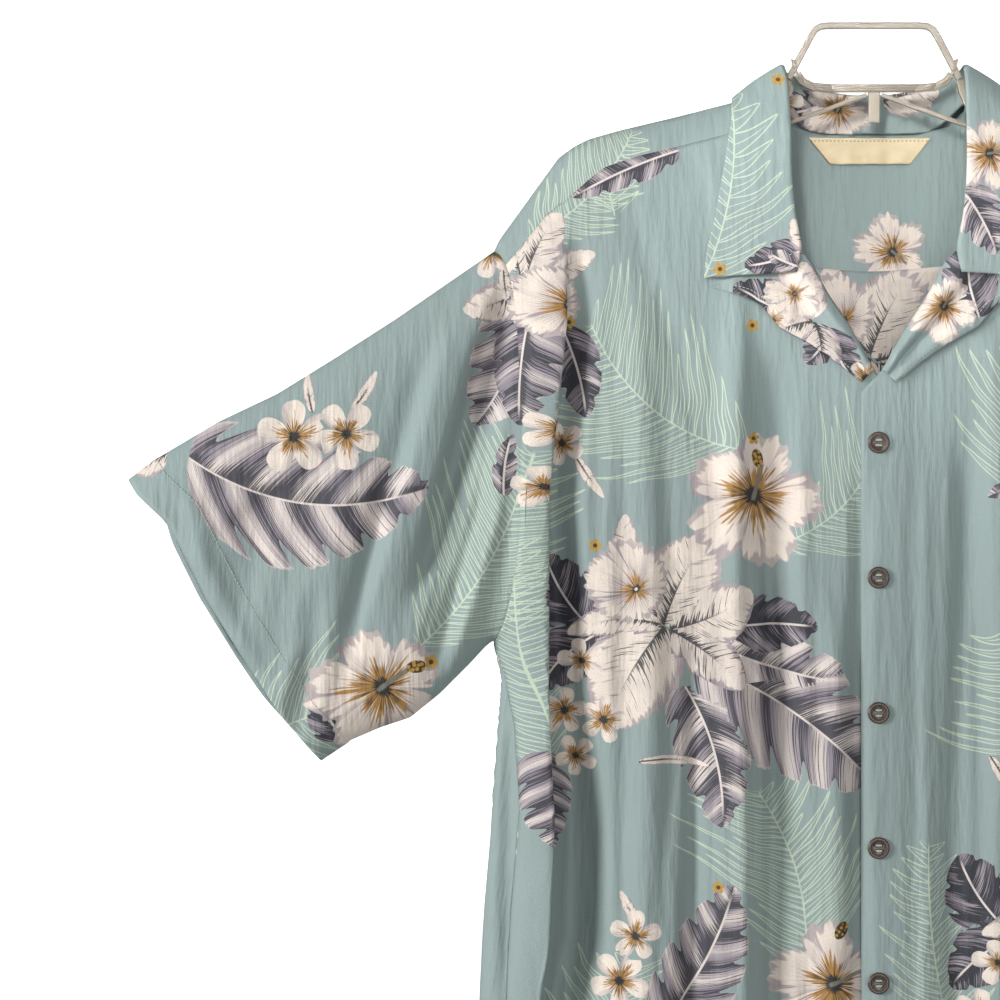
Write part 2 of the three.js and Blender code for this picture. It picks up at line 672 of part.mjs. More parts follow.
function plate(shape, thick = HANGER.thick) {
  const edge = 0.8;
  const geometry = new THREE.ExtrudeGeometry(shape, {
    depth: thick - 2 * edge,
    bevelThickness: edge,
    bevelSize: edge,
    bevelOffset: -edge,
    bevelSegments: 1,
    curveSegments: 6,
  });
  return geometry.translate(0, 0, edge - thick / 2).rotateX(Math.PI / 2);
}

// A flat strip of even width along a line of [x, z] points
function strip(line, width) {
  const points = line.map(([x, z]) => new THREE.Vector2(x, z));
  const sides = points.map((p, k) => {
    const before = points[Math.max(k - 1, 0)];
    const after = points[Math.min(k + 1, points.length - 1)];
    const run = after.clone().sub(before).normalize();
    return new THREE.Vector2(-run.y, run.x).multiplyScalar(width / 2);
  });
  const left = points.map((p, k) => p.clone().add(sides[k]));
  const right = points.map((p, k) => p.clone().sub(sides[k])).reverse();
  return new THREE.Shape([...left, ...right]);
}

// Centre lines on the wearer's right, as [x, z]. The arm runs HANGER.seat under the shoulder fold.
const LOOP_SIDE = [
  [-60.5, -35.5],
  [-55, -25],
  [-44.5, -5],
  [-41.5, -0.5],
  [-37.5, 1.8],
  [-32, HANGER.loop / 2],
];
const CROSSBAR = [
  [-54.5, -32],
  [-50.5, -37.5],
  [-43, -41],
  [-30, -42],
];
const CROSSBAR_FOOT = CROSSBAR[CROSSBAR.length - 1][1] - HANGER.bar / 2;
const ARM = [
  [-60.8, -36.5],
  [-62.5, -44],
  [-66.5, -53.5],
  [-73.5, -57],
  [-83, -56.4],
  ...[-100, -139, -181, -200].map((x) => [x, shoulderZ(x) - HANGER.seat]),
  [-206, -88],
  [-208, -96],
];
const BRACE = [
  [-5.4, -46.8],
  [-60, -66.5],
  [-100, -78],
  [-140, -83.5],
  [-180, shoulderZ(-180) - HANGER.seat - HANGER.bar / 2 - HANGER.brace / 2 - SEAM],
];
const POST_FOOT = -66.5;

const flipped = (line) => line.map(([x, z]) => [-x, z]);
const bothSides = (line) => [...line, ...flipped(line).reverse()];
add("hanger_loop", plate(strip(bothSides(LOOP_SIDE), HANGER.loop)), PLASTIC);
add("hanger_crossbar", plate(strip(bothSides(CROSSBAR), HANGER.bar)), PLASTIC);
for (const [side, place] of [["right", (line) => line], ["left", flipped]]) {
  add(`hanger_arm_${side}`, plate(strip(place(ARM), HANGER.bar)), PLASTIC);
  add(`hanger_brace_${side}`, plate(strip(place(BRACE), HANGER.brace)), PLASTIC);
}
add("hanger_post", plate(strip([[0, CROSSBAR_FOOT - SEAM], [0, POST_FOOT]], HANGER.post)), PLASTIC);

export default shirt;
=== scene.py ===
import math

import bmesh
import bpy
import numpy as np
from mathutils import Matrix, Vector


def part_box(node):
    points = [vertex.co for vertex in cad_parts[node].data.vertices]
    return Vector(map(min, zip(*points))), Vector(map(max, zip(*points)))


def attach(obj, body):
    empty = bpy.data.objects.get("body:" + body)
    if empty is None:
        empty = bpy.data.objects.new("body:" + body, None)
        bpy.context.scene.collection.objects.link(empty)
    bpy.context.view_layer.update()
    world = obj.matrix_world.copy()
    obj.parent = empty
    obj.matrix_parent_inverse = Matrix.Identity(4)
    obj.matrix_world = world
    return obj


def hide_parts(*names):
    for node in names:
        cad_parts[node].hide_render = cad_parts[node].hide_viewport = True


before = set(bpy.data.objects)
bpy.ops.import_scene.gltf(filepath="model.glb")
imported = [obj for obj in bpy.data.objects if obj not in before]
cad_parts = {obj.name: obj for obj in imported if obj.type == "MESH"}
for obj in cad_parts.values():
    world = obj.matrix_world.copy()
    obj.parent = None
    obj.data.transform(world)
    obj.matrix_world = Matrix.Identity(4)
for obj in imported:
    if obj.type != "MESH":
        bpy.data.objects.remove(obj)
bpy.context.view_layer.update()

# Fronts: two panels of printed rayon, cut from the side seam to the front edge and sewn to the yoke,
# the sleeves and the back. They hang from the shoulders in long soft folds, and the wearer's left
# front closes over the right one. Lengths are millimetres; the wearer's right lies at negative x.
MM = 0.001
WALL = 0.9
SEAM = 0.1  # room between neighbouring pieces
HALF_DEPTH = 20
NECK_EXTRA = 6
EDGE_ROUND = 48
NECK = {"z": -75, "spread_x": 70, "spread_z": 60}
HEM_Z = -869
OVERLAP = 12
OVERLAP_STEP = 2
STEP_EDGE = {"x": 28, "z": -222, "over": 14}
COLUMN_PITCH = 2.8  # width of one face of the cloth
ROW_PITCH = 3.2
FRONT_SPAN = 290
FRONT_DROP = 720

# The outline of the wearer's right half as x, z, and the seams on it
SHOULDER = [
    (-70, -44), (-100, -52), (-139, -62), (-181, -72), (-202, -78),
    (-212, -83), (-223, -91), (-244, -120), (-265, -149), (-269, -157.5),
]
SLEEVE_TOP = [
    (-269, -157.5), (-296, -176), (-338, -205), (-380, -232),
    (-422, -258), (-464, -278), (-506, -303), (-527, -319),
]
SLEEVE_UNDER = [
    (-391, -517), (-370, -503), (-349, -494), (-328, -487),
    (-307, -470), (-286, -449), (-275, -437), (-270, -433),
]
BODY_SIDE = [
    (-270, -433), (-264, -459), (-267, -498), (-271, -550),
    (-276, -617), (-279, -676), (-283, -869),
]
CLOSED_EDGES = [SHOULDER, SLEEVE_TOP, SLEEVE_UNDER, BODY_SIDE]
ARMHOLE = [
    (-269, -157.5), (-266, -160), (-263, -163.5), (-260.5, -168), (-258, -175),
    (-255.5, -188), (-253.5, -205), (-252, -222), (-251, -245), (-250.5, -270),
    (-250.3, -298), (-250.6, -325), (-251.5, -352), (-253.5, -378), (-257, -400),
    (-261, -416), (-264.5, -425), (-267.5, -430.5), (-269.5, -433),
]
ARMHOLE_FRONT_ROW = 3
# How far the back comes round the side before the side seam, as z, distance
SIDE_WRAP = [(-433, 0), (-463, 4), (-491, 12), (-550, 20), (-660, 19), (-869, 21)]
# The yoke's free edge as share, x, distance past the shoulder fold
YOKE_EDGE = [
    (0, -260.5, -25.2), (0.1, -231, -30), (0.14, -220, -36), (0.19, -206, -32),
    (0.25, -191, -25), (0.33, -166, -23), (0.52, -107, -23), (0.62, -73, -24),
    (0.66, -73, -12), (0.7, -72, 1), (0.75, -66, 12), (0.8, -57, 22),
    (0.88, -34, 28), (1, 0, 28),
]
YOKE_SEAM_END = 0.62
# The front's neckline under the collar, then the line where the lapel rolls back: share, x, z
NECK_EDGE = [
    (0.64, -73, -69), (0.67, -68.5, -100), (0.7, -67, -130), (0.74, -62, -152),
    (0.78, -49.5, -163), (0.83, -34, -190), (0.88, -21, -209), (0.94, -2, -243),
    (1, 12, -258),
]

# Folds: x and z of the top and the foot, half widths to the viewer's left and right, how far the
# cloth stands out, and the length over which the fold dies away
FRONT_FOLDS = [
    (-256, -470, -262, -950, 10, 16, -6, 90),
    (-166, -210, -154, -950, 20, 22, 6, 90),
    (-131, -430, -130, -950, 11, 12, -6, 120),
    (-98, -215, -94, -950, 22, 12, 8, 80),
    (-76, -260, -70, -950, 12, 28, -11, 90),
    (-32, -420, -28, -950, 16, 14, 5, 90),
    (-12, -330, -9, -950, 12, 10, -4, 60),
    (198, -160, 207, -950, 38, 20, -13, 80),
    (230, -180, 237, -950, 15, 18, 7, 70),
    (160, -230, 150, -950, 22, 22, 6, 90),
    (118, -380, 124, -950, 14, 16, -7, 90),
    (84, -230, 90, -950, 18, 18, 6, 60),
    (60, -300, 54, -950, 16, 18, -6, 70),
]
BACK_FOLDS = [
    (-190, -230, -196, -950, 34, 34, -8, 80),
    (-140, -260, -128, -950, 26, 26, 7, 90),
    (-78, -300, -70, -950, 26, 28, -6, 110),
    (-18, -230, -12, -950, 26, 26, 6, 90),
    (44, -280, 52, -950, 26, 26, -6, 110),
    (104, -250, 112, -950, 26, 28, 6, 90),
    (182, -230, 190, -950, 36, 32, -8, 80),
]
SLEEVE_FOLDS = [
    (-262, -190, -318, -386, 11, 30, -12, 60),
    (-286, -215, -346, -402, 22, 16, 5, 60),
    (-262, -300, -292, -430, 14, 16, 6, 40),
    (-276, -330, -310, -452, 10, 14, -8, 40),
    (-360, -300, -400, -450, 30, 26, 5, 70),
    (-392, -400, -410, -500, 14, 14, -4, 40),
    (-430, -320, -450, -420, 24, 20, -4, 50),
    (-480, -330, -470, -380, 12, 14, 3, 24),
]
# The rim of cloth that hangs over the deep fold at the side, as z and x, then the fold's shape at its
# top and at its foot: distance of its bottom from the rim, half widths, depth
SIDE_RIM = [
    (-950, -232), (-680, -238), (-640, -231), (-560, -228), (-470, -232),
    (-333, -232), (-291, -228), (-227, -221), (-171, -216), (-120, -213),
]
SIDE_FOLD = {"top": (4, 13, 24, 15), "foot": (14, 18, 48, 29), "widens_from": -280, "widens_over": 340}
SIDE_TUCK = {"half": 10, "over": 11, "top": -125, "fade": 90}
SIDE_RIDGE = {"height": 8, "back": 12, "half": 17, "fade": 120}
# Smaller creases on top of them
FRONT_CREASES = [
    (-186, -260, -190, -640, 9, 11, 2.4, 70),
    (-177, -520, -172, -900, 9, 9, -2.2, 80),
    (-150, -300, -146, -560, 10, 10, -2.1, 90),
    (-143, -560, -150, -930, 9, 10, 2.2, 90),
    (-112, -240, -110, -470, 9, 10, -2.2, 60),
    (-110, -520, -114, -900, 10, 9, 2.5, 90),
    (-84, -420, -82, -760, 7, 8, 1.8, 70),
    (-54, -300, -50, -520, 9, 10, 2.4, 60),
    (-50, -560, -50, -940, 9, 9, -2.2, 70),
    (-16, -330, -14, -900, 7, 7, -2.0, 60),
    (-218, -420, -222, -900, 7, 8, 2.2, 80),
    (-246, -560, -248, -900, 7, 8, -2.4, 60),
    (-176, -130, -120, -300, 14, 14, -2.2, 60),
    (-120, -90, -96, -200, 12, 14, 2.1, 40),
    (34, -330, 30, -900, 8, 9, 2.2, 70),
    (72, -420, 70, -900, 9, 9, -2.4, 80),
    (104, -260, 100, -640, 10, 9, 2.4, 80),
    (138, -300, 134, -930, 10, 9, -2.1, 80),
    (178, -460, 174, -930, 9, 9, 2.4, 90),
    (216, -380, 220, -900, 8, 7, -2.2, 70),
]


def smooth(t):
    t = np.clip(t, 0, 1)
    return t * t * (3 - 2 * t)


def mix(a, b, share):
    return a + (b - a) * share


def along(table, at, key=0, column=1):
    """The value in a column of a table where the key column, sorted either way, equals at."""
    rows = sorted(table, key=lambda row: row[key])
    return np.interp(at, [row[key] for row in rows], [row[column] for row in rows])


def shoulder_z(x):
    return along(SHOULDER, np.minimum(x, SHOULDER[0][0]))


def from_edge(x, z):
    """Distance from the nearest closed edge of the right half, and the direction away from it."""
    best = np.full(x.shape, np.inf)
    away = np.zeros((2, *x.shape))
    for line in CLOSED_EDGES:
        for (ax, az), (bx, bz) in zip(line, line[1:]):
            run = (bx - ax, bz - az)
            square = run[0] ** 2 + run[1] ** 2
            t = np.clip(((x - ax) * run[0] + (z - az) * run[1]) / square, 0, 1)
            dx, dz = x - ax - t * run[0], z - az - t * run[1]
            distance = np.hypot(dx, dz)
            near = distance < best
            length = math.sqrt(square)
            flush = distance < 0.01
            best = np.where(near, distance, best)
            safe = np.maximum(distance, 0.01)
            away[0] = np.where(near, np.where(flush, -run[1] / length, dx / safe), away[0])
            away[1] = np.where(near, np.where(flush, run[0] / length, dz / safe), away[1])
    return best, away


def folds_at(rows, x, z):
    out = np.zeros(x.shape)
    for index, (x0, z0, x1, z1, left, right, rise, fade) in enumerate(rows):
        length = math.hypot(x1 - x0, z1 - z0)
        run = ((x1 - x0) / length, (z1 - z0) / length)
        down = (x - x0) * run[0] + (z - z0) * run[1]
        wander = 0.16 * min(left, right) * np.sin(down / 74 + 1.9 * index)
        across = (z - z0) * run[0] - (x - x0) * run[1] + wander
        width = np.where(across < 0, left, right)
        side = smooth(1 - np.abs(across) / width)
        ends = smooth(0.5 + down / fade) * smooth(0.5 + (length - down) / fade)
        swell = 1 + 0.16 * np.sin(down / 61 + 2.7 * index)
        out += rise * side * ends * swell
    return out


def left_on_top(x, z):
    inside = smooth((STEP_EDGE["x"] - x) / STEP_EDGE["over"])
    return OVERLAP_STEP * inside * smooth((STEP_EDGE["z"] - z) / STEP_EDGE["over"])


SLEEVE_CREASES = [
    (-300, -215, -352, -392, 12, 12, 2.7, 50),
    (-322, -235, -372, -430, 11, 13, -2.4, 50),
    (-284, -330, -318, -446, 9, 10, -3.0, 40),
    (-345, -330, -378, -470, 12, 10, -2.4, 50),
    (-498, -358, -452, -452, 10, 9, -2.5, 40),
    (-474, -372, -440, -440, 8, 9, 2.1, 30),
    (-468, -420, -430, -462, 8, 8, -2.2, 24),
    (-400, -300, -470, -350, 14, 12, 1.8, 50),
    (-380, -250, -440, -300, 12, 12, -1.7, 40),
    (-400, -430, -420, -480, 10, 10, 1.8, 30),
    (-262, -240, -280, -330, 8, 9, -2.7, 30),
]
BACK_CREASES = [
    (-168, -300, -160, -700, 11, 10, 2.2, 90),
    (-108, -330, -104, -900, 11, 12, -2.4, 90),
    (-50, -280, -46, -700, 11, 11, 2.2, 90),
    (16, -340, 22, -900, 11, 11, 2.2, 80),
    (76, -300, 84, -800, 11, 12, -2.2, 90),
    (140, -320, 150, -900, 12, 11, 2.4, 90),
    (216, -330, 222, -900, 9, 9, 2.2, 80),
    (-226, -330, -232, -900, 9, 9, 2.2, 80),
]


def side_fold(x, z):
    """The deep fold beside the rim, and the low ridge on the rim's other side."""
    across = x - along(SIDE_RIM, z)
    lower = smooth((SIDE_FOLD["widens_from"] - z) / SIDE_FOLD["widens_over"])
    bottom, left, right, deep = (mix(a, b, lower) for a, b in zip(SIDE_FOLD["top"], SIDE_FOLD["foot"]))
    width = np.where(across < bottom, left, right)
    valley = -deep * smooth(1 - np.abs(across - bottom) / width) ** 1.35
    behind_rim = across + SIDE_RIDGE["back"]
    ridge = SIDE_RIDGE["height"] * smooth(1 - np.abs(behind_rim) / SIDE_RIDGE["half"])
    return (valley + ridge) * smooth((SIDE_TUCK["top"] - z) / SIDE_RIDGE["fade"])


def fold_sum(layer, x, z):
    sleeves = folds_at(SLEEVE_FOLDS + SLEEVE_CREASES, -np.abs(x), z)
    if layer == "back":
        return folds_at(BACK_FOLDS + BACK_CREASES, x, z) + sleeves
    front = folds_at(FRONT_FOLDS + FRONT_CREASES, x, z) + sleeves + side_fold(x, z)
    return front + left_on_top(x, z) if layer == "front_left" else front


def on_cloth(layer, x, z, lift=0):
    """Places on the outside of one layer of the garment and their outward normals."""
    distance, away = from_edge(-np.abs(x), z)
    near = 1 - np.minimum(distance / EDGE_ROUND, 1)
    neck = np.exp(-((x / NECK["spread_x"]) ** 2) - ((z - NECK["z"]) / NECK["spread_z"]) ** 2)
    half = HALF_DEPTH + NECK_EXTRA * neck
    flat = np.sqrt(np.maximum(1 - near**2, 0))
    sign = 1 if layer == "back" else -1
    folds = fold_sum(layer, x, z)
    slope_x = (fold_sum(layer, x + 1, z) - fold_sum(layer, x - 1, z)) / 2
    slope_z = (fold_sum(layer, x, z + 1) - fold_sum(layer, x, z - 1)) / 2
    rise = half * near / EDGE_ROUND
    away_x = np.where(x > 0, -away[0], away[0])
    normal = np.stack(
        [-away_x * rise - slope_x * flat**2, sign * flat, -away[1] * rise - slope_z * flat**2], 1
    )
    normal /= np.linalg.norm(normal, axis=1, keepdims=True)
    point = np.stack([x, sign * (half + folds) * flat, z], 1)
    return point + normal * np.reshape(lift, (-1, 1)), normal


def new_mesh(bm, name):
    mesh = bpy.data.meshes.new(name)
    bm.to_mesh(mesh)
    bm.free()
    return mesh


def new_object(name, data):
    thing = bpy.data.objects.new(name, data)
    bpy.context.scene.collection.objects.link(thing)
    return thing


def apply_modifiers(piece):
    """Gives the piece the mesh that its modifiers make, and returns that mesh."""
    bpy.context.view_layer.update()
    made = bpy.data.meshes.new_from_object(piece.evaluated_get(bpy.context.evaluated_depsgraph_get()))
    piece.modifiers.clear()
    piece.data = made
    return made


def sheet_mesh(name, columns, rows, place, wall=WALL, offset=-1):
    """A cloth piece from a grid. place(u, v) gives points, normals and flat cloth coordinates."""
    bm = bmesh.new()
    bmesh.ops.create_grid(bm, x_segments=columns, y_segments=rows, size=0.5)
    mesh = new_mesh(bm, name)
    grid = np.empty(len(mesh.vertices) * 3)
    mesh.vertices.foreach_get("co", grid)
    grid = grid.reshape(-1, 3) + 0.5
    points, normals, flat = place(grid[:, 0], grid[:, 1])
    mesh.vertices.foreach_set("co", (points * MM).ravel())
    corners = np.empty(len(mesh.loops), np.int32)
    mesh.loops.foreach_get("vertex_index", corners)
    cloth = mesh.attributes.new("cloth", "FLOAT_VECTOR", "CORNER")
    flat3 = np.column_stack([flat, np.zeros(len(flat))])
    cloth.data.foreach_set("vector", flat3[corners].ravel().astype(np.float32))
    bm = bmesh.new()
    bm.from_mesh(mesh)
    bm.normal_update()
    facing = np.array([v.normal for v in bm.verts])
    if (facing * normals).sum() < 0:
        bmesh.ops.reverse_faces(bm, faces=bm.faces)
    bmesh.ops.remove_doubles(bm, verts=bm.verts, dist=0.02 * MM)
    bm.to_mesh(mesh)
    bm.free()
    piece = new_object(name, mesh)
    thickness = piece.modifiers.new("Cloth", "SOLIDIFY")
    thickness.thickness = wall * MM
    thickness.offset = offset
    finished = apply_modifiers(piece)
    finished.name = name
    finished.shade_smooth()
    return piece


def front_top(u):
    """x and z of a front's upper edge: the yoke's seam, the neckline, then the roll line."""
    seam_u = np.minimum(u, YOKE_SEAM_END)
    seam_x = along(YOKE_EDGE, seam_u)
    seam_z = shoulder_z(seam_x) + along(YOKE_EDGE, seam_u, 0, 2) - SEAM
    first = NECK_EDGE[0][0]
    turn = np.clip((u - YOKE_SEAM_END) / (first - YOKE_SEAM_END), 0, 1)
    neck_u = np.maximum(u, first)
    return mix(seam_x, along(NECK_EDGE, neck_u), turn), mix(seam_z, along(NECK_EDGE, neck_u, 0, 2), turn)


def side_tuck(x, z):
    """How far the rim beside the deep side fold hangs over it."""
    across = x - along(SIDE_RIM, z) + SIDE_TUCK["half"]
    rim = smooth(1 - np.abs(across) / SIDE_TUCK["half"])
    return SIDE_TUCK["over"] * rim * smooth((SIDE_TUCK["top"] - z) / SIDE_TUCK["fade"])


def front_side(z):
    below = along(BODY_SIDE, z, 1, 0) + along(SIDE_WRAP, z)
    return np.where(z > ARMHOLE[-1][1], along(ARMHOLE, z, 1, 0), below)


def front_place(mirror):
    layer = "front_right" if mirror > 0 else "front_left"
    top = ARMHOLE[ARMHOLE_FRONT_ROW]
    edge = OVERLAP if mirror > 0 else OVERLAP - 1

    def place(u, v):
        side_z = mix(HEM_Z, top[1], v)
        head_x, head_z = front_top(u)
        foot_x = front_side(np.array(HEM_Z + 0.01))
        ruled = mix(mix(foot_x, edge, u), head_x, v)
        straight = mix(foot_x, top[0], v)
        x = ruled + (front_side(side_z) - straight + SEAM) * (1 - u) ** 2
        z = mix(HEM_Z, head_z, v)
        points, normals = on_cloth(layer, x * mirror, z)
        points[:, 0] += side_tuck(x, z) * mirror
        return points, normals, np.column_stack([x * mirror, z])

    return place


# Printed rayon: one smooth, drapey cloth for every sewn piece. Its ground is sage green, printed with
# pale palm fronds, engraved grey leaves, white orchids and hibiscus and small gold-throated blossoms.
# It is a plain weave, so fine that only a faint grain and a soft sheen show.
FAR = 9.0  # local coordinate where no motif lies


class Sum:
    """A number in a shader's node tree. Arithmetic on it adds the nodes."""

    def __init__(self, tree, socket):
        self.tree, self.socket = tree, socket

    def math(self, operation, *others):
        node = self.tree.nodes.new("ShaderNodeMath")
        node.operation = operation
        for entry, value in zip(node.inputs, (self, *others)):
            if isinstance(value, Sum):
                self.tree.links.new(value.socket, entry)
            else:
                entry.default_value = value
        return Sum(self.tree, node.outputs[0])

    def __add__(self, other):
        return self.math("ADD", other)

    def __sub__(self, other):
        return self.math("SUBTRACT", other)

    def __mul__(self, other):
        return self.math("MULTIPLY", other)

    def __truediv__(self, other):
        return self.math("DIVIDE", other)

    def __rsub__(self, other):
        return (self * -1) + other

    __radd__ = __add__
    __rmul__ = __mul__

    def power(self, other):
        return self.math("POWER", other)

    def size(self):
        return self.math("ABSOLUTE")

    def part(self):
        return self.math("FRACT")

    def ramp(self, low, high):
        """0 below low and 1 above high, or the other way where low is the greater."""
        node = self.tree.nodes.new("ShaderNodeMapRange")
        node.interpolation_type = "SMOOTHSTEP"
        for name, value in (("Value", self), ("From Min", low), ("From Max", high)):
            if isinstance(value, Sum):
                self.tree.links.new(value.socket, node.inputs[name])
            else:
                node.inputs[name].default_value = value
        return Sum(self.tree, node.outputs["Result"])

    def clamp(self):
        return self.math("MINIMUM", 1.0).math("MAXIMUM", 0.0)


def joined(a, b, c=0.0):
    node = a.tree.nodes.new("ShaderNodeCombineXYZ")
    for entry, value in zip(node.inputs, (a, b, c)):
        if isinstance(value, Sum):
            a.tree.links.new(value.socket, entry)
        else:
            entry.default_value = value
    return node.outputs[0]


def grain(a, b, c=0.0, detail=1.0):
    """Cloudy noise between 0 and 1 over three numbers."""
    node = a.tree.nodes.new("ShaderNodeTexNoise")
    node.inputs["Scale"].default_value = 1
    node.inputs["Detail"].default_value = detail
    a.tree.links.new(joined(a, b, c), node.inputs["Vector"])
    return Sum(a.tree, node.outputs["Fac"])


def tint(tree, under, over, share):
    """Colour over on colour under, by share. A colour is a socket or three numbers."""
    node = tree.nodes.new("ShaderNodeMix")
    node.data_type = "RGBA"
    tree.links.new(share.socket, node.inputs[0])
    for entry, value in ((node.inputs[6], under), (node.inputs[7], over)):
        if isinstance(value, tuple):
            entry.default_value = (*value, 1)
        else:
            tree.links.new(value, entry)
    return node.outputs[2]


def new_material(name):
    """A material on nodes, with its tree and its shader."""
    material = bpy.data.materials.new(name)
    material.use_nodes = True
    return material, material.node_tree, material.node_tree.nodes["Principled BSDF"]


def cloth_place(tree):
    """Where a point of the cloth lies, as x and z in the flat cloth's millimetres."""
    place = tree.nodes.new("ShaderNodeAttribute")
    place.attribute_name = "cloth"
    flat = tree.nodes.new("ShaderNodeSeparateXYZ")
    tree.links.new(place.outputs["Vector"], flat.inputs[0])
    return Sum(tree, flat.outputs[0]), Sum(tree, flat.outputs[1])


def bump(tree, height, strength, depth, under=None):
    """The normal over a relief of some depth in millimetres, laid on another normal or on none."""
    node = tree.nodes.new("ShaderNodeBump")
    node.inputs["Strength"].default_value = strength
    node.inputs["Distance"].default_value = depth * MM
    tree.links.new(height.socket, node.inputs["Height"])
    if under is not None:
        tree.links.new(under, node.inputs["Normal"])
    return node.outputs["Normal"]


def motif_group(name, with_colour=True):
    """A node group with the inputs Place and Form, and the outputs Colour and Mask. Place holds the
    position along and across the motif and, in its third part, the length in whole millimetres
    plus a seed between 0 and 1."""
    group = bpy.data.node_groups.new(name, "ShaderNodeTree")
    for entry in ("Place", "Form"):
        group.interface.new_socket(entry, in_out="INPUT", socket_type="NodeSocketVector")
    if with_colour:
        group.interface.new_socket("Colour", in_out="OUTPUT", socket_type="NodeSocketColor")
    group.interface.new_socket("Mask", in_out="OUTPUT", socket_type="NodeSocketFloat")
    entry, result = group.nodes.new("NodeGroupInput"), group.nodes.new("NodeGroupOutput")
    parts = []
    for socket in entry.outputs[:2]:
        split = group.nodes.new("ShaderNodeSeparateXYZ")
        group.links.new(socket, split.inputs[0])
        parts += [Sum(group, part) for part in split.outputs]
    parts[2:3] = [parts[2].part(), parts[2].math("FLOOR")]
    return group, parts, result


def frond_group():
    """A palm frond drawn in pale outline. Form holds half width, leaflets and how far they sweep."""
    group, (p, q, seed, size, half, leaflets, sweep), result = motif_group("Palm frond", False)
    line = size.power(-1) * 0.68
    h = q.size()
    side = q.math("SIGN")
    start = p - h * 0.55 - h * h * sweep + (grain(p * 5, q * 5, seed * 9, 0.0) - 0.5) * 0.05
    count = start * leaflets + side * 0.21 + seed
    own = grain(count.math("FLOOR") * 1.7, side * 3.1 + seed, 0.0, 0.0)
    swell = (start.clamp().power(0.7) * math.pi).math("SINE").math("MAXIMUM", 0.0001).power(0.5)
    reach = half * swell * (own * 1.5 + 0.3)
    rel = h / reach.math("MAXIMUM", 0.001)
    off = (count.part() - 0.5 + (own - 0.5) * rel * rel * 0.5).size()
    lens = (1 - rel).math("MAXIMUM", 0.0).power(0.8) * 0.46
    width = line * leaflets * (1 + h * sweep * 0.8)
    outline = ((off - lens).size()).ramp(width, width * 0.3)
    middle = off.ramp(width * 0.7, width * 0.2) * rel.ramp(0.8, 0.5)
    inside = rel.ramp(1.01, 0.97) * start.ramp(0.0, 0.02) * start.ramp(1.0, 0.97)
    rib = h.ramp(line * 1.2, line * 0.4) * p.ramp(0.0, 0.01) * p.ramp(1.0, 0.97)
    mask = (outline.math("MAXIMUM", middle) * inside).math("MAXIMUM", rib)
    group.links.new(mask.socket, result.inputs["Mask"])
    return group


LEAF_BLACK = (0.020, 0.020, 0.028)
LEAF_GREY = (0.215, 0.185, 0.215)
LEAF_WHITE = (0.60, 0.53, 0.495)


def leaf_group():
    """An engraved leaf. Form holds half width, number of lobes and tone, from 0 pale to 1 dark."""
    group, (p, q, seed, size, half, lobes, tone), result = motif_group("Engraved leaf")
    h = q.size()
    side = q.math("SIGN")
    start = p - h * 0.5 - h * h * 1.5
    lobe = (start * lobes + side * 0.23 + seed).part()
    notch = lobe.ramp(0.72, 1.0) + lobe.ramp(0.14, 0.0)
    frill = grain(start * 26, side * 2 + seed, 0.0, 2.0) - 0.5
    bulge = (p.clamp().power(0.72) * math.pi).math("SINE").math("MAXIMUM", 0.0001).power(0.6)
    width = half * bulge * (1 - notch * (0.38 - tone * 0.14) + frill * 0.14)
    rel = h / width.math("MAXIMUM", 0.001)
    mask = rel.ramp(1.012, 0.975) * p.ramp(0.0, 0.012) * p.ramp(1.0, 0.985)
    hatch = grain(start * size * 1.25 + seed * 20, h * 3.5, side * 5 + seed * 9, 1.0)
    cloud = grain(start * 7 + seed * 5, h * 3, side * 4, 1.0)
    fold = (lobe - 0.46).size() * 2
    rim = rel.ramp(0.7, 1.02)
    core = rel.ramp(0.55, 0.0) * (side * 0.4 + 0.8)
    dark = tone * 0.42 + fold * fold * 0.6 + rim * 0.12 + core * 0.4 + (cloud - 0.5) * 0.8 - 0.22
    ink = (dark - (hatch - 0.5) * 1.9 - 0.24).ramp(-0.1, 0.12)
    bright = (cloud * 0.8 + (1 - fold) * 0.9 - tone * 0.7 - 0.38 + (hatch - 0.5) * 0.8).ramp(0.1, 0.9)
    pale = tint(group, LEAF_GREY, LEAF_WHITE, bright)
    inked = tint(group, pale, LEAF_BLACK, ink * (tone * 0.15 + 0.83).clamp())
    rib = (h * size).ramp(1.0, 0.45) * p.ramp(0.97, 0.8)
    outline = rel.ramp(0.955, 0.985) * (0.6 - tone * 0.35)
    drawn = tint(group, inked, LEAF_WHITE, rib.math("MAXIMUM", outline).clamp())
    group.links.new(drawn, result.inputs["Colour"])
    group.links.new(mask.socket, result.inputs["Mask"])
    return group


PETAL_WHITE = (0.665, 0.585, 0.51)
PETAL_LILAC = (0.265, 0.22, 0.24)
PETAL_RIB = (0.05, 0.045, 0.05)


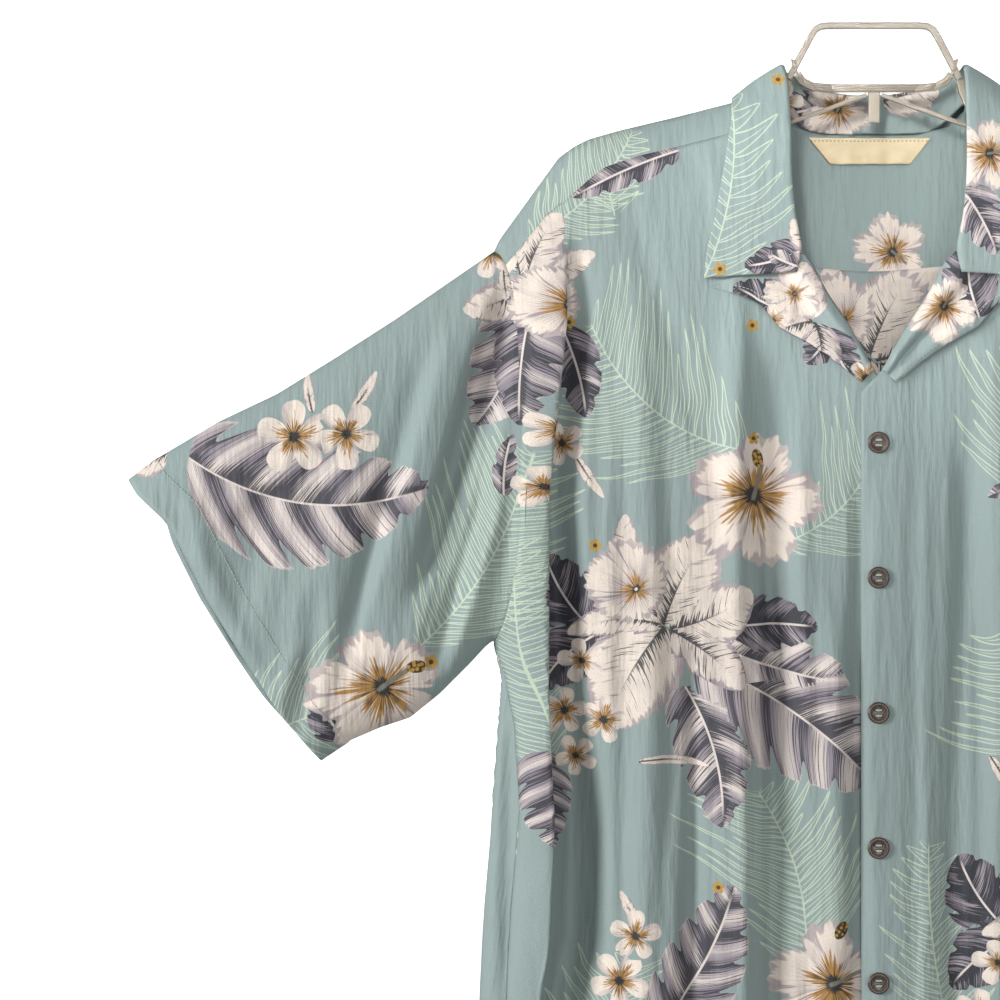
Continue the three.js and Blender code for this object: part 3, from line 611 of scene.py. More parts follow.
def petal_group():
    """An orchid's ruffled petal: white, greyed from the edge in wedges and inked beside its midrib.
    Form holds half width, depth of the ruffle and how dark it is."""
    group, (p, q, seed, size, half, ruffle, tone), result = motif_group("Orchid petal")
    h = q.size()
    side = q.math("SIGN")
    start = p - h * 0.55 - h * h * 1.1
    wave = grain(start * 11 + seed * 7, side * 2, seed * 3, 2.0) - 0.5
    bulge = (p.clamp().power(0.8) * math.pi).math("SINE").math("MAXIMUM", 0.0001).power(0.55)
    width = half * bulge * (1 + wave * ruffle)
    rel = h / width.math("MAXIMUM", 0.001)
    mask = rel.ramp(1.012, 0.975) * p.ramp(0.0, 0.012) * p.ramp(1.0, 0.985)
    fine = grain(start * size * 0.7 + seed * 20, h * 4, side * 5, 1.5)
    broad = grain(start * size * 0.2 + seed * 9, h * 3, side * 3, 1.0)
    cloud = grain(p * 4 + seed * 7, q * 5, 0.0, 1.0)
    wedge = (broad - 0.62 + rel.ramp(0.6, 1.0) * 0.36 + (fine - 0.5) * 0.3).ramp(0.0, 0.14)
    shade = (cloud * 0.9 - 0.36 + tone * 0.6 + (fine - 0.5) * 0.5).clamp()
    pale = tint(group, PETAL_WHITE, PETAL_LILAC, (wedge * 0.72 + shade * 0.7).clamp())
    heart = rel.ramp(0.5, 0.0) * p.ramp(0.95, 0.2) * (side * 0.3 + 0.55) + p.ramp(0.16, 0.0) * 0.4
    edge = rel.ramp(0.8, 1.0) * tone
    ink = (heart * 0.8 + tone * 0.3 + edge * 0.5 - (fine - 0.5) * 2.6 - 0.42).ramp(0.0, 0.2)
    drawn = tint(group, pale, LEAF_BLACK, ink * 0.92)
    rib = (h * size).ramp(0.8, 0.35) * p.ramp(0.9, 0.7) * 0.85
    ribbed = tint(group, drawn, PETAL_RIB, rib * p.ramp(0.75, 0.3))
    rim = rel.ramp(0.955, 0.985) * 0.5
    group.links.new(tint(group, ribbed, PETAL_LILAC, rim), result.inputs["Colour"])
    group.links.new(mask.socket, result.inputs["Mask"])
    return group


THROAT_GOLD = (0.31, 0.155, 0.028)
THROAT_RAY = (0.05, 0.028, 0.012)
EYE_BLACK = (0.016, 0.013, 0.012)
COLUMN_GREY = (0.155, 0.15, 0.125)


def bloom_group():
    """An open five-petalled flower. Form holds notch depth, fringe and the throat's radius."""
    group, (p, q, seed, size, notch, fringe, throat), result = motif_group("Open flower")
    radius = (p * p + q * q).math("SQRT")
    shift = (0.42 - notch).math("MAXIMUM", 0.0) * fringe * (1 - radius).math("MAXIMUM", 0.0)
    eye_p = p - shift
    deep = (eye_p * eye_p + q * q).math("SQRT")
    turns = q.math("ARCTAN2", eye_p) * (5 / (2 * math.pi)) + 0.5
    across = turns.part() - 0.5
    petal = turns.math("FLOOR")
    own = grain(petal * 2.3 + seed * 7, seed * 11, 0.0, 0.0)
    gap = (across.size() * 2).power(3)
    wave = grain(turns * 3.4, radius * 1.1, seed * 8, 2.0) - 0.5
    scallop = (turns * (2 * math.pi * 5) + wave * 9).math("SINE") * 0.035
    ragged = (notch * 4).clamp()
    reach = 0.93 - notch * gap + (own - 0.5) * ragged * 0.3 + (wave * 0.2 + scallop) * fringe + wave * 0.08
    rel = radius / reach.math("MAXIMUM", 0.05)
    mask = rel.ramp(1.012, 0.975)
    streak = grain(turns * 17, radius * 2.2, seed * 5, 1.5)
    stroke = grain(turns * 10, radius * 1.2, seed * 9 + 4, 1.0)
    soft = grain(turns * 2.6, radius * 2.5, seed * 3 + 8, 1.0)
    side_shade = (across + (streak - 0.5) * 0.4).ramp(0.05, 0.5) * rel.ramp(0.2, 0.6)
    ringed = throat.ramp(0.3, 0.34) * (1 - notch * 2).clamp() * deep.ramp(0.75, 0.3)
    fan = (turns * (2 * math.pi * 11)).math("SINE") * 0.5 + 0.5
    lilac = side_shade * (1 - fringe * 0.72) + ringed * (fan * 0.8 + 0.3) + (soft - 0.44) * 0.8
    wedge = (stroke - 0.58 + rel.ramp(0.74, 1.0) * 0.3 + (streak - 0.5) * 0.35).ramp(0.02, 0.14)
    petals = tint(group, PETAL_WHITE, PETAL_LILAC, (lilac * 0.72 + wedge * fringe * 0.66).clamp())
    seam = across.size().ramp(0.44, 0.495) * rel.ramp(1.0, 0.55) * (streak * 1.9 - 0.3).clamp()
    parted = tint(group, petals, LEAF_BLACK, seam * (notch * 2.2).clamp() * 0.8)
    spike = throat * (streak * 2.1 - 0.05 - across.size() * 0.8 + (own - 0.5) * 0.5)
    gold_share = (spike - deep).ramp(-0.05, 0.06) * (stroke * 0.5 + 0.72).clamp()
    golden = tint(group, parted, THROAT_GOLD, gold_share)
    rays = (streak - 0.52).ramp(0.0, 0.08) * (throat * 0.75 - deep).ramp(-0.03, 0.05) * 0.8
    rayed = tint(group, golden, THROAT_RAY, rays)
    eye = (throat * (streak * 0.7 - 0.02) - deep).ramp(-0.012, 0.015)
    dark = tint(group, rayed, EYE_BLACK, eye)
    pin = q.size().ramp(0.05, 0.02) * (1 - notch * 3).clamp() * eye_p.size().ramp(0.055, 0.03) * fringe
    pinned = tint(group, dark, PETAL_WHITE, pin)
    column = q.size().ramp(0.04, 0.02) * p.ramp(0.02, 0.05) * p.ramp(0.6, 0.54) * fringe
    column = column * notch.ramp(0.15, 0.2)
    drawn = tint(group, pinned, COLUMN_GREY, column * 0.9)
    group.links.new(drawn, result.inputs["Colour"])
    group.links.new(mask.socket, result.inputs["Mask"])
    return group


POLLEN_GOLD = (0.40, 0.225, 0.035)
POLLEN_GAP = (0.04, 0.024, 0.01)
POLLEN_HEART = (0.05, 0.03, 0.01)


def pollen_group():
    """A tight cluster of golden grains with dark gaps: a stamen's tip or a tiny blossom."""
    group, (p, q, seed, size, stretch, lobes, _), result = motif_group("Golden grains")
    radius = (p * p + q * q * stretch).math("SQRT")
    cells = group.nodes.new("ShaderNodeTexVoronoi")
    cells.inputs["Scale"].default_value = 2.6
    cells.inputs["Randomness"].default_value = 0.55
    group.links.new(joined(p, q, seed * 9), cells.inputs["Vector"])
    distance = Sum(group, cells.outputs["Distance"])
    grains = tint(group, POLLEN_GOLD, POLLEN_GAP, distance.ramp(0.36, 0.56))
    petals = (q.math("ARCTAN2", p) * 2.5).math("COSINE").size()
    blossom = tint(group, POLLEN_GOLD, POLLEN_HEART, radius.ramp(0.36, 0.22))
    colour = tint(group, grains, blossom, lobes)
    group.links.new(colour, result.inputs["Colour"])
    rim = 0.95 - (1 - petals) * lobes * 0.4
    group.links.new((radius / rim).ramp(1.0, 0.9).socket, result.inputs["Mask"])
    return group


GROUND = (0.238, 0.306, 0.300)
GROUND_GREY = (0.214, 0.268, 0.256)
FROND_PALE = (0.46, 0.54, 0.41)
FLECK = (0.10, 0.12, 0.12)
WEAVE_PITCH = 0.62
LAYERS = ["frond_low", "frond_high", "leaf_low", "leaf_high", "petal", "bloom", "blossom", "pollen"]
# Which of the three families of motif a layer belongs to
FAMILY = {"frond": 1, "leaf": 2, "petal": 2, "bloom": 4, "blossom": 4, "pollen": 4}
MOTIFS = {"frond": frond_group(), "leaf": leaf_group(), "bloom": bloom_group()}
MOTIFS.update(petal=petal_group(), blossom=MOTIFS["bloom"], pollen=pollen_group())


def cloth_material(families):
    """The cloth where it carries the given families of motif, added up."""
    material, tree, shader = new_material(f"Printed rayon {families}")
    x, z = cloth_place(tree)
    mottle = grain(x * 0.02, z * 0.012)
    slub = grain(x * 1.1, z * 0.16)
    colour = tint(tree, GROUND, GROUND_GREY, (mottle * 0.6 + slub * 0.5 - 0.05).clamp())
    for layer in LAYERS:
        if not FAMILY[layer.split("_")[0]] & families:
            continue
        motif = tree.nodes.new("ShaderNodeGroup")
        motif.node_tree = MOTIFS[layer.split("_")[0]]
        for entry in ("Place", "Form"):
            stored = tree.nodes.new("ShaderNodeAttribute")
            stored.attribute_name = f"{layer}_{entry.lower()}"
            tree.links.new(stored.outputs["Vector"], motif.inputs[entry])
        mask = Sum(tree, motif.outputs["Mask"])
        if layer.startswith("frond"):
            colour = tint(tree, colour, FROND_PALE, mask * 0.88)
        else:
            colour = tint(tree, colour, motif.outputs["Colour"], mask)
    weave_x = (x * (2 * math.pi / WEAVE_PITCH)).math("SINE")
    weave_z = (z * (2 * math.pi / WEAVE_PITCH)).math("SINE")
    weave = weave_x * weave_z
    fleck = grain(x * 2.4, z * 1.7)
    grained = tint(tree, colour, FLECK, (fleck - 0.40).ramp(0.0, 0.4) * 0.5)
    tree.links.new(grained, shader.inputs["Base Color"])
    crinkle = grain(x * 0.17, z * 0.028, 0.0, 2.0)
    creased = bump(tree, crinkle, 0.62, 2.6)
    tree.links.new(bump(tree, weave, 0.12, 0.15, creased), shader.inputs["Normal"])
    shader.inputs["Roughness"].default_value = 0.66
    shader.inputs["Sheen Weight"].default_value = 0.07
    shader.inputs["Sheen Roughness"].default_value = 0.4
    shader.inputs["Specular IOR Level"].default_value = 0.22
    return material


rayon = [cloth_material(families) for families in range(8)]

# The print, in the flat cloth's millimetres. A frond, leaf or petal has the x and z of its base, a
# length, a heading in degrees, and a half width and bend as shares of the length. A flower has the x
# and z of its middle, and a radius.
FRONT_PRINT = {
    "repeat": (330, 640),
    "frond": [
        # level, x, z, length, heading, half width, leaflets, sweep, bend
        ("low", -88, -300, 146, 141, 0.42, 16, 0.8, 0.14),
        ("low", -52, -668, 136, 104, 0.38, 16, 0.9, -0.10),
        ("high", -228, -530, 170, 99, 0.17, 17, 1.5, 0.05),
        ("high", -74, -366, 112, 46, 0.34, 12, 1.0, -0.14),
        ("high", -184, -775, 122, 84, 0.34, 11, 0.8, 0.10),
    ],
    "leaf": [
        # level, x, z, length, heading, half width, lobes, tone, bend
        ("low", -126, -446, 152, -35, 0.31, 5.2, 0.14, 0.06),
        ("low", -118, -432, 108, -16, 0.24, 3.6, 0.0, -0.05),
        ("high", -104, -422, 62, 0, 0.34, 2.2, 0.85, 0.03),
        ("high", -204, -420, 56, 121, 0.44, 2.2, 0.9, 0.06),
        ("high", -192, -424, 62, 222, 0.36, 2.4, 0.9, -0.06),
        ("low", -152, -702, 112, 63, 0.26, 4.6, 0.3, -0.06),
        ("high", -139, -88, 82, 204, 0.155, 3.4, 0.45, -0.03),
        ("low", -240, -508, 74, -84, 0.27, 4.2, 0.4, 0.05),
        ("low", -136, -462, 104, -75, 0.26, 3.4, 0.3, 0.08),
        ("high", -18, -190, 58, 236, 0.34, 3.0, 0.7, 0.05),
    ],
    "petal": [
        # x, z, length, heading, half width, ruffle, tone, bend
        (-150, -421, 70, 63, 0.40, 0.3, 0.0, 0.05),
        (-146, -424, 64, 24, 0.36, 0.3, 0.1, -0.06),
        (-150, -421, 82, 241, 0.40, 0.3, 0.0, -0.05),
        (-150, -418, 80, 110, 0.17, 0.1, 0.25, 0.12),
        (-146, -424, 66, -38, 0.26, 0.2, 0.45, 0.05),
        (-152, -420, 66, 186, 0.17, 0.15, 0.15, -0.10),
        (-168, -516, 50, -4, 0.07, 0, 0.1, 0.06),
        (-212, -302, 36, -56, 0.12, 0, 0.1, -0.02),
        (-168, -630, 26, 118, 0.16, 0, 0.2, 0.02),
    ],
    "bloom": [
        # x, z, radius, heading, notch, fringe, throat
        (-88, -335, 50, 74, 0.30, 1.0, 0.46),
        (-176, -390, 31, -40, 0.04, 1.0, 0.36),
        (-36, -673, 48, 20, 0.30, 1.0, 0.44),
    ],
    "blossom": [
        (-207, -446, 18, 30, 0.62, 0.1, 0.42),
        (-192, -487, 18, 75, 0.62, 0.1, 0.55),
        (-219, -482, 18, 10, 0.62, 0.1, 0.55),
        (-211, -514, 16, 50, 0.62, 0.1, 0.50),
        (-170, -638, 20, 15, 0.62, 0.1, 0.50),
        (-181, -670, 22, 55, 0.62, 0.1, 0.48),
        (-266, -572, 18, 25, 0.62, 0.1, 0.5),
    ],
    "pollen": [
        # x, z, radius, heading, stretch across, whether a blossom
        (-84, -304, 7.5, 105, 2.6, 0),
        (-87, -290, 5, 20, 1, 1),
        (-198, -365, 5.2, 0, 1, 1),
        (-88, -211, 5.2, 40, 1, 1),
        (-26, -634, 7.5, 60, 2.6, 0),
        (-112, -604, 5, 20, 1, 1),
    ],
}
# The sleeve's own print, which runs over the armhole onto the front
SLEEVE_PRINT = {
    "frond": [
        ("low", -321, -436, 158, 61, 0.30, 20, 1.0, -0.09),
        ("low", -462, -180, 120, 20, 0.36, 12, 0.8, 0.06),
    ],
    "leaf": [
        ("high", -484, -303, 172, -7, 0.28, 5.4, 0.14, -0.13),
        ("low", -374, -500, 38, 122, 0.42, 2.0, 0.75, 0.05),
        ("low", -366, -498, 30, 62, 0.40, 2.0, 0.8, 0.05),
        ("low", -240, -186, 104, -114, 0.30, 3.4, 0.15, 0.06),
        ("high", -242, -196, 86, -96, 0.24, 3.2, 0.55, -0.04),
        ("high", -222, -210, 68, -75, 0.26, 2.4, 0.75, 0.05),
        ("low", -262, -330, 44, 82, 0.2, 2.2, 0.5, 0.05),
    ],
    "petal": [
        (-396, -272, 30, 99, 0.13, 0, 0.1, 0.03),
        (-368, -270, 32, 58, 0.13, 0, 0.1, -0.04),
        (-452, -484, 44, 100, 0.34, 0.2, 0.2, 0.05),
        (-236, -182, 44, 30, 0.24, 0.2, 0.1, 0.05),
        (-250, -178, 52, 112, 0.34, 0.3, 0.1, -0.06),
        (-246, -176, 50, 62, 0.30, 0.3, 0.2, 0.06),
        (-244, -182, 50, 202, 0.30, 0.3, 0.25, 0.06),
        (-262, -164, 46, -80, 0.09, 0, 0.1, -0.06),
        (-500, -300, 30, 200, 0.4, 0.2, 0.15, 0.05),
        (-212, -302, 36, -56, 0.12, 0, 0.1, -0.02),
    ],
    "bloom": [
        (-352, -468, 50, 36, 0.27, 1.0, 0.44),
        (-234, -194, 27, -20, 0.04, 1.0, 0.40),
    ],
    "blossom": [
        (-409, -289, 29, 20, 0.62, 0.1, 0.46),
        (-372, -287, 26, 55, 0.62, 0.1, 0.46),
        (-271, -158, 22, 40, 0.62, 0.1, 0.50),
        (-235, -284, 17, 0, 0.62, 0.1, 0.50),
        (-221, -293, 17, 40, 0.62, 0.1, 0.52),
        (-243, -324, 16, 20, 0.62, 0.1, 0.50),
    ],
    "pollen": [(-313, -447, 6, 0, 1, 1), (-323, -450, 8, 5, 2.6, 0), (-216, -208, 5.2, 0, 1, 1)],
}
SHOULDER_PRINT = {
    "frond": [
        ("low", -246, -150, 108, 46, 0.26, 15, 1.2, -0.10),
        ("high", 150, -110, 110, 20, 0.30, 10, 0.9, 0.08),
        ("low", -150, 20, 130, 160, 0.34, 11, 0.8, 0.08),
    ],
    "leaf": [
        ("high", -60, 66, 80, 160, 0.3, 4.2, 0.4, 0.05),
        ("high", 170, 40, 90, 20, 0.3, 5.2, 0.2, 0.05),
    ],
    "bloom": [(14, 66, 28, 40, 0.30, 1.0, 0.44), (150, 40, 40, 10, 0.30, 1.0, 0.44)],
    "blossom": [(-200, 20, 20, 20, 0.62, 0.1, 0.5)],
}


def motif_rows(print_table, layer):
    """The rows of one layer as x, z, size, heading, form of three, reach across and bend."""
    family, _, level = layer.partition("_")
    rows = []
    for row in print_table.get(family, []):
        if family in ("frond", "leaf"):
            if row[0] != level:
                continue
            row = row[1:]
        if family in ("frond", "leaf", "petal"):
            reach = 1.55 if family == "frond" else 1.3
            rows.append((*row[:4], *row[4:7], row[4] * reach, row[7]))
        elif family == "pollen":
            rows.append((*row, 0, 0, 0))
        else:
            rows.append((*row, 0, 0))
    return rows


def tiled(rows, low, high, shift, repeat):
    """The rows repeated over a stretch of cloth, from its low to its high corner."""
    made = []
    for i in range(-4, 5):
        for j in range(-4, 5):
            dx, dz = shift[0] + i * repeat[0], shift[1] + j * repeat[1]
            for row in rows:
                x, z, size = row[0] + dx, row[1] + dz, row[2]
                if low[0] - size < x < high[0] + size and low[1] - size < z < high[1] + size:
                    made.append((x, z, *row[2:]))
    return made


def print_on(piece, tables):
    """Stores on each face's corners where in its motif they lie, a motif for each face and layer.
    tables are a print table, its shift, and its repeat, which is None for one laid once."""
    mesh = piece.data
    corners = np.empty(len(mesh.loops) * 3, np.float32)
    mesh.attributes["cloth"].data.foreach_get("vector", corners)
    corners = corners.reshape(-1, 3)[:, :2].astype(float)
    starts = np.empty(len(mesh.polygons), np.int32)
    totals = np.empty(len(mesh.polygons), np.int32)
    mesh.polygons.foreach_get("loop_start", starts)
    mesh.polygons.foreach_get("loop_total", totals)
    face_of = np.repeat(np.arange(len(totals)), totals)
    order = np.concatenate([np.arange(a, a + n) for a, n in zip(starts, totals)])
    centres = np.add.reduceat(corners[order], np.cumsum(totals) - totals) / totals[:, None]
    low, high = corners.min(0), corners.max(0)
    families = np.zeros(len(centres), int)
    for number, layer in enumerate(LAYERS):
        rows = []
        for table, shift, repeat in tables:
            laid = motif_rows(table, layer)
            if repeat is None:
                rows += [(row[0] + shift[0], row[1] + shift[1], *row[2:]) for row in laid]
            else:
                rows += tiled(laid, low, high, shift, repeat)
        place = np.full((len(corners), 3), FAR, np.float32)
        form = np.full((len(corners), 3), 0.5, np.float32)
        if rows:
            table = np.array(rows, float)
            best = np.full(len(centres), 1.0)
            chosen = np.full(len(centres), -1)
            for index, row in enumerate(table):
                p, q = motif_place(centres, row)
                if row[7] > 0:
                    longer = 0.3 if layer.startswith("frond") else 0
                    middle = (1 + longer) / 2
                    score = np.maximum(np.abs(p - middle) / (middle + 0.04), np.abs(q) / row[7])
                else:
                    score = np.hypot(p, q) / 1.35
                nearer = score < best
                best[nearer] = score[nearer]
                chosen[nearer] = index
            families[chosen >= 0] |= FAMILY[layer.split("_")[0]]
            own = np.empty(len(corners), int)
            own[order] = chosen[face_of]
            for index in range(len(table)):
                mine = own == index
                if mine.any():
                    p, q = motif_place(corners[mine], table[index])
                    seed = 0.02 + 0.96 * ((index * 0.381966 + number * 0.17) % 1)
                    seed += round(table[index, 2])
                    place[mine] = np.column_stack([p, q, np.full(len(p), seed)])
                    form[mine] = table[index, 4:7]
        for entry, values in (("place", place), ("form", form)):
            stored = mesh.attributes.new(f"{layer}_{entry}", "FLOAT_VECTOR", "CORNER")
            stored.data.foreach_set("vector", values.ravel())
    used, slot = np.unique(families, return_inverse=True)
    mesh.materials.clear()
    for number in used:
        mesh.materials.append(rayon[number])
    mesh.polygons.foreach_set("material_index", slot.astype(np.int32))


def motif_place(points, row):
    """Where points of the flat cloth lie along and across a motif."""
    heading = math.radians(row[3])
    dx, dz = points[:, 0] - row[0], points[:, 1] - row[1]
    p = (dx * math.cos(heading) + dz * math.sin(heading)) / row[2]
    q = (dz * math.cos(heading) - dx * math.sin(heading)) / row[2]
    return p, q - row[8] * 4 * p * (1 - p)


def cloth_piece(name, node, tables):
    """Prints one finished piece of cloth and fixes it to the frame in the place of its solid."""
    piece = bpy.data.objects[name]
    print_on(piece, tables)
    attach(piece, "root")
    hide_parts(node)
    return piece


front_columns = round(FRONT_SPAN / COLUMN_PITCH)
front_rows = round(FRONT_DROP / ROW_PITCH)
front_right = sheet_mesh("front_panel_right", front_columns, front_rows, front_place(1))
front_left = sheet_mesh("front_panel_left", front_columns, front_rows, front_place(-1))
right_print = [(FRONT_PRINT, (0, 0), FRONT_PRINT["repeat"])]
right_print += [(SLEEVE_PRINT, (0, 0), None), (SHOULDER_PRINT, (0, 0), None)]
cloth_piece("front_panel_right", "front_right", right_print)
cloth_piece("front_panel_left", "front_left", [(FRONT_PRINT, (290, -210), FRONT_PRINT["repeat"])])

# Back: one panel below the yoke, which comes round both sides to the side seams, so that a strip of
# it shows beside the front. It hangs in wider, flatter folds than the fronts.
BACK_COLUMNS = 216
BACK_DROP = 650
ARMHOLE_BACK_ROW = 7
BACK_SEAM = {"top": -170, "drop": 52, "reach": 252, "dip": 5, "dip_width": 45}
TURNED_IN = 5  # seam allowance that lies inside the neighbouring piece


def back_seam_z(x):
    side = BACK_SEAM["drop"] * (np.abs(x) / BACK_SEAM["reach"]) ** 4
    return BACK_SEAM["top"] - side - BACK_SEAM["dip"] * np.exp(-((x / BACK_SEAM["dip_width"]) ** 2))


def back_place(u, v):
    mirror = np.where(u <= 0.5, 1, -1)
    share = (1 - np.abs(2 * u - 1)) ** 1.25
    top_z = ARMHOLE[ARMHOLE_BACK_ROW][1]
    edge_z = mix(HEM_Z, top_z, v)
    arm = edge_z >= ARMHOLE[-1][1]
    edge_x = np.where(arm, along(ARMHOLE, edge_z, 1, 0) + SEAM, along(BODY_SIDE, edge_z, 1, 0))
    wrap = np.where(arm, 0, along(SIDE_WRAP, edge_z) - SEAM)
    run = share * (wrap - edge_x) - wrap
    x = edge_x + np.abs(run)
    seam = back_seam_z(x)
    ruled = mix(smooth(share * 4), 1, smooth(v * 8 - 7))
    z = mix(edge_z, mix(HEM_Z, seam + TURNED_IN * smooth(share * 12), v), ruled)
    tucked = np.where(arm & (run >= 0), smooth((z - seam) / 1.5 + 1), 0)
    behind, behind_normal = on_cloth("back", x * mirror, z, -(WALL + 0.15) * tucked)
    before, before_normal = on_cloth("front", x * mirror, z)
    around = (run < 0)[:, None]
    flat = np.column_stack([(edge_x + run) * mirror, z])
    return np.where(around, before, behind), np.where(around, before_normal, behind_normal), flat


back = sheet_mesh("back_panel", BACK_COLUMNS, round(BACK_DROP / ROW_PITCH), back_place)
cloth_piece("back_panel", "back", [(FRONT_PRINT, (150, 190), FRONT_PRINT["repeat"])])

# Yoke: one piece over both shoulders, from its seam on the fronts to its seam across the back. It
# carries the whole garment on the hanger's arms, so it is drawn smooth.
YOKE_ROWS = [0, 0.06, 0.115, 0.17, 0.185, 0.205, 0.24, 0.3, 0.42, 0.7, 1]
YOKE_FOLD = YOKE_ROWS[ARMHOLE_FRONT_ROW]
YOKE_FACES = (200, 76)  # across and along


def past_fold(v, edge, foot):
    """Distance past the shoulder fold, from the front seam at v = 0 to the back seam at v = 1."""
    behind = foot * (v - YOKE_FOLD) / (1 - YOKE_FOLD)
    return np.where(v <= YOKE_FOLD, edge * (1 - v / YOKE_FOLD), behind)


def yoke_place(u, v):
    mirror = np.where(u <= 0.5, 1, -1)
    at = 1 - np.abs(2 * u - 1)
    v = mix(v**1.6, v, smooth(v * 2 - 0.2))
    edge_x, edge_past = along(YOKE_EDGE, at), along(YOKE_EDGE, at, 0, 2)
    x = mix(edge_x, mix(ARMHOLE[ARMHOLE_BACK_ROW][0], 0, at), v)
    foot = shoulder_z(x) - back_seam_z(x)
    straight = mix(edge_past, foot, v)
    past = mix(past_fold(v, edge_past, foot), straight, smooth((edge_past + 23) / 11))
    side_x, side_past = [], []
    for row in range(len(YOKE_ROWS)):
        point = ARMHOLE[abs(row - ARMHOLE_FRONT_ROW)]
        sign = -1 if row < ARMHOLE_FRONT_ROW else 1
        side_x.append(point[0] + SEAM)
        side_past.append(sign * (float(shoulder_z(point[0])) - point[1]))
    first_x = mix(YOKE_EDGE[0][1], ARMHOLE[ARMHOLE_BACK_ROW][0], v)
    first = past_fold(v, YOKE_EDGE[0][2], shoulder_z(first_x) - back_seam_z(first_x))
    pull = (1 - at) ** 6
    x = x + (np.interp(v, YOKE_ROWS, side_x) - first_x) * pull
    past = past + (np.interp(v, YOKE_ROWS, side_past) - first) * pull
    z = shoulder_z(x) - np.abs(past)
    behind, behind_normal = on_cloth("back", x * mirror, z)
    before, before_normal = on_cloth("front", x * mirror, z)
    over = (past > 0)[:, None]
    flat = np.column_stack([x * mirror, shoulder_z(x) + past])
    return np.where(over, behind, before), np.where(over, behind_normal, before_normal), flat


yoke = sheet_mesh("yoke_panel", *YOKE_FACES, yoke_place)
cloth_piece("yoke_panel", "yoke", [(SHOULDER_PRINT, (0, 0), None)])

# Sleeves: each one a short wide tube sewn into the armhole, folded flat along its top, seamed along
# its underside and hemmed 25 mm deep.
SLEEVE_HEM = [
    (-527, -319), (-519, -330), (-496, -351), (-491, -361),
    (-470, -403), (-444, -445), (-416, -487), (-391, -517),
]
SLEEVE_ROUND = 190
SLEEVE_ALONG = 84
HEM_DEPTH = 25
HEM_STEP = 0.5
HEM_SLIP = 9  # how far the back of the sleeve's mouth shows behind its front
FOLD_RUN = (-0.848, -0.530)  # the way in which the fold along the top runs


def sleeve_outline(u, v):
    """x and z of one place on the flat sleeve: u from the armhole to the hem, v from top to underside."""
    arm_top, arm_foot = ARMHOLE[0], ARMHOLE[-1]

    def armhole(t):
        z = mix(arm_top[1], arm_foot[1], t)
        return along(ARMHOLE, z, 1, 0), z

    def hem(t):
        z = mix(SLEEVE_HEM[0][1], SLEEVE_HEM[-1][1], t)
        return along(SLEEVE_HEM, z, 1, 0), z

    def top(t):
        x = mix(SLEEVE_TOP[0][0], SLEEVE_TOP[-1][0], t)
        return x, along(SLEEVE_TOP, x)

    def under(t):
        x = mix(arm_foot[0], SLEEVE_UNDER[0][0], t)
        return x, along(SLEEVE_UNDER, x)

    zero, one = np.zeros_like(u), np.ones_like(u)
    corner = [
        mix(mix(armhole(zero)[k], hem(zero)[k], u), mix(armhole(one)[k], hem(one)[k], u), v)
        for k in (0, 1)
    ]
    return [
        mix(armhole(v)[k], hem(v)[k], u) + mix(top(u)[k], under(u)[k], v) - corner[k] for k in (0, 1)
    ]


def sleeve_down(v):
    """How far down the flat sleeve a place round the tube lies, from its top to its underside."""
    turn = 2 * v
    return 0.5 - 0.5 * np.cos(math.pi * np.where(turn <= 1, turn, 2 - turn))


def sleeve_length(down):
    """Length from the armhole's seam to the hem, and the allowance turned in at the seam."""
    ends = [np.stack(sleeve_outline(np.full_like(down, at), down)) for at in (0, 1)]
    return np.hypot(*(ends[1] - ends[0])), TURNED_IN * smooth(6 * down) * smooth(6 - 6 * down)


def sleeve_place(mirror):
    def place(u, v):
        front = 2 * v <= 1
        down = sleeve_down(v)
        length, allowance = sleeve_length(down)
        past_seam = u * (length + allowance) - allowance
        u = past_seam / length
        x, z = sleeve_outline(u, down)
        from_hem = length - past_seam
        tucked = (WALL + 0.15) * smooth(1 - past_seam / 1.5) * smooth(12 * down) * smooth(12 - 12 * down)
        slip = HEM_SLIP * np.maximum(u, 0) ** 4 * smooth(4 * down) * smooth(4 - 4 * down)
        slip = np.where(front, 0, slip)
        x = (x - slip) * mirror
        hem = HEM_STEP * smooth((HEM_DEPTH - from_hem) / 2) - tucked
        before, before_normal = on_cloth("front", x, z, hem)
        behind, behind_normal = on_cloth("back", x, z, hem)
        pick = front[:, None]
        top_x, top_z = sleeve_outline(u, np.zeros_like(down))
        over_x, over_z = x * mirror - top_x, z - top_z
        run = 2 * (over_x * FOLD_RUN[0] + over_z * FOLD_RUN[1])
        back_x = (top_x + run * FOLD_RUN[0] - over_x) * mirror
        back_z = top_z + run * FOLD_RUN[1] - over_z
        flat = np.column_stack([np.where(front, x, back_x), np.where(front, z, back_z)])
        return np.where(pick, before, behind), np.where(pick, before_normal, behind_normal), flat

    return place


for side, mirror in (("right", 1), ("left", -1)):
    sleeve = sheet_mesh(f"sleeve_tube_{side}", SLEEVE_ALONG, SLEEVE_ROUND, sleeve_place(mirror))
    cloth_piece(sleeve.name, f"sleeve_{side}", [(SLEEVE_PRINT, (0 if mirror > 0 else 790, 0), (790, 336))])

# Lapels: the facing turns out along a soft roll line beside the neck and lies back on the front
# under the point of the collar.
LAPEL_LIFT = 2
LAPEL_ROLL = 5.5
LAPEL_FLARE = 3.5
LAPEL_WALL = 1.1
LAPEL_FACES = (36, 64)
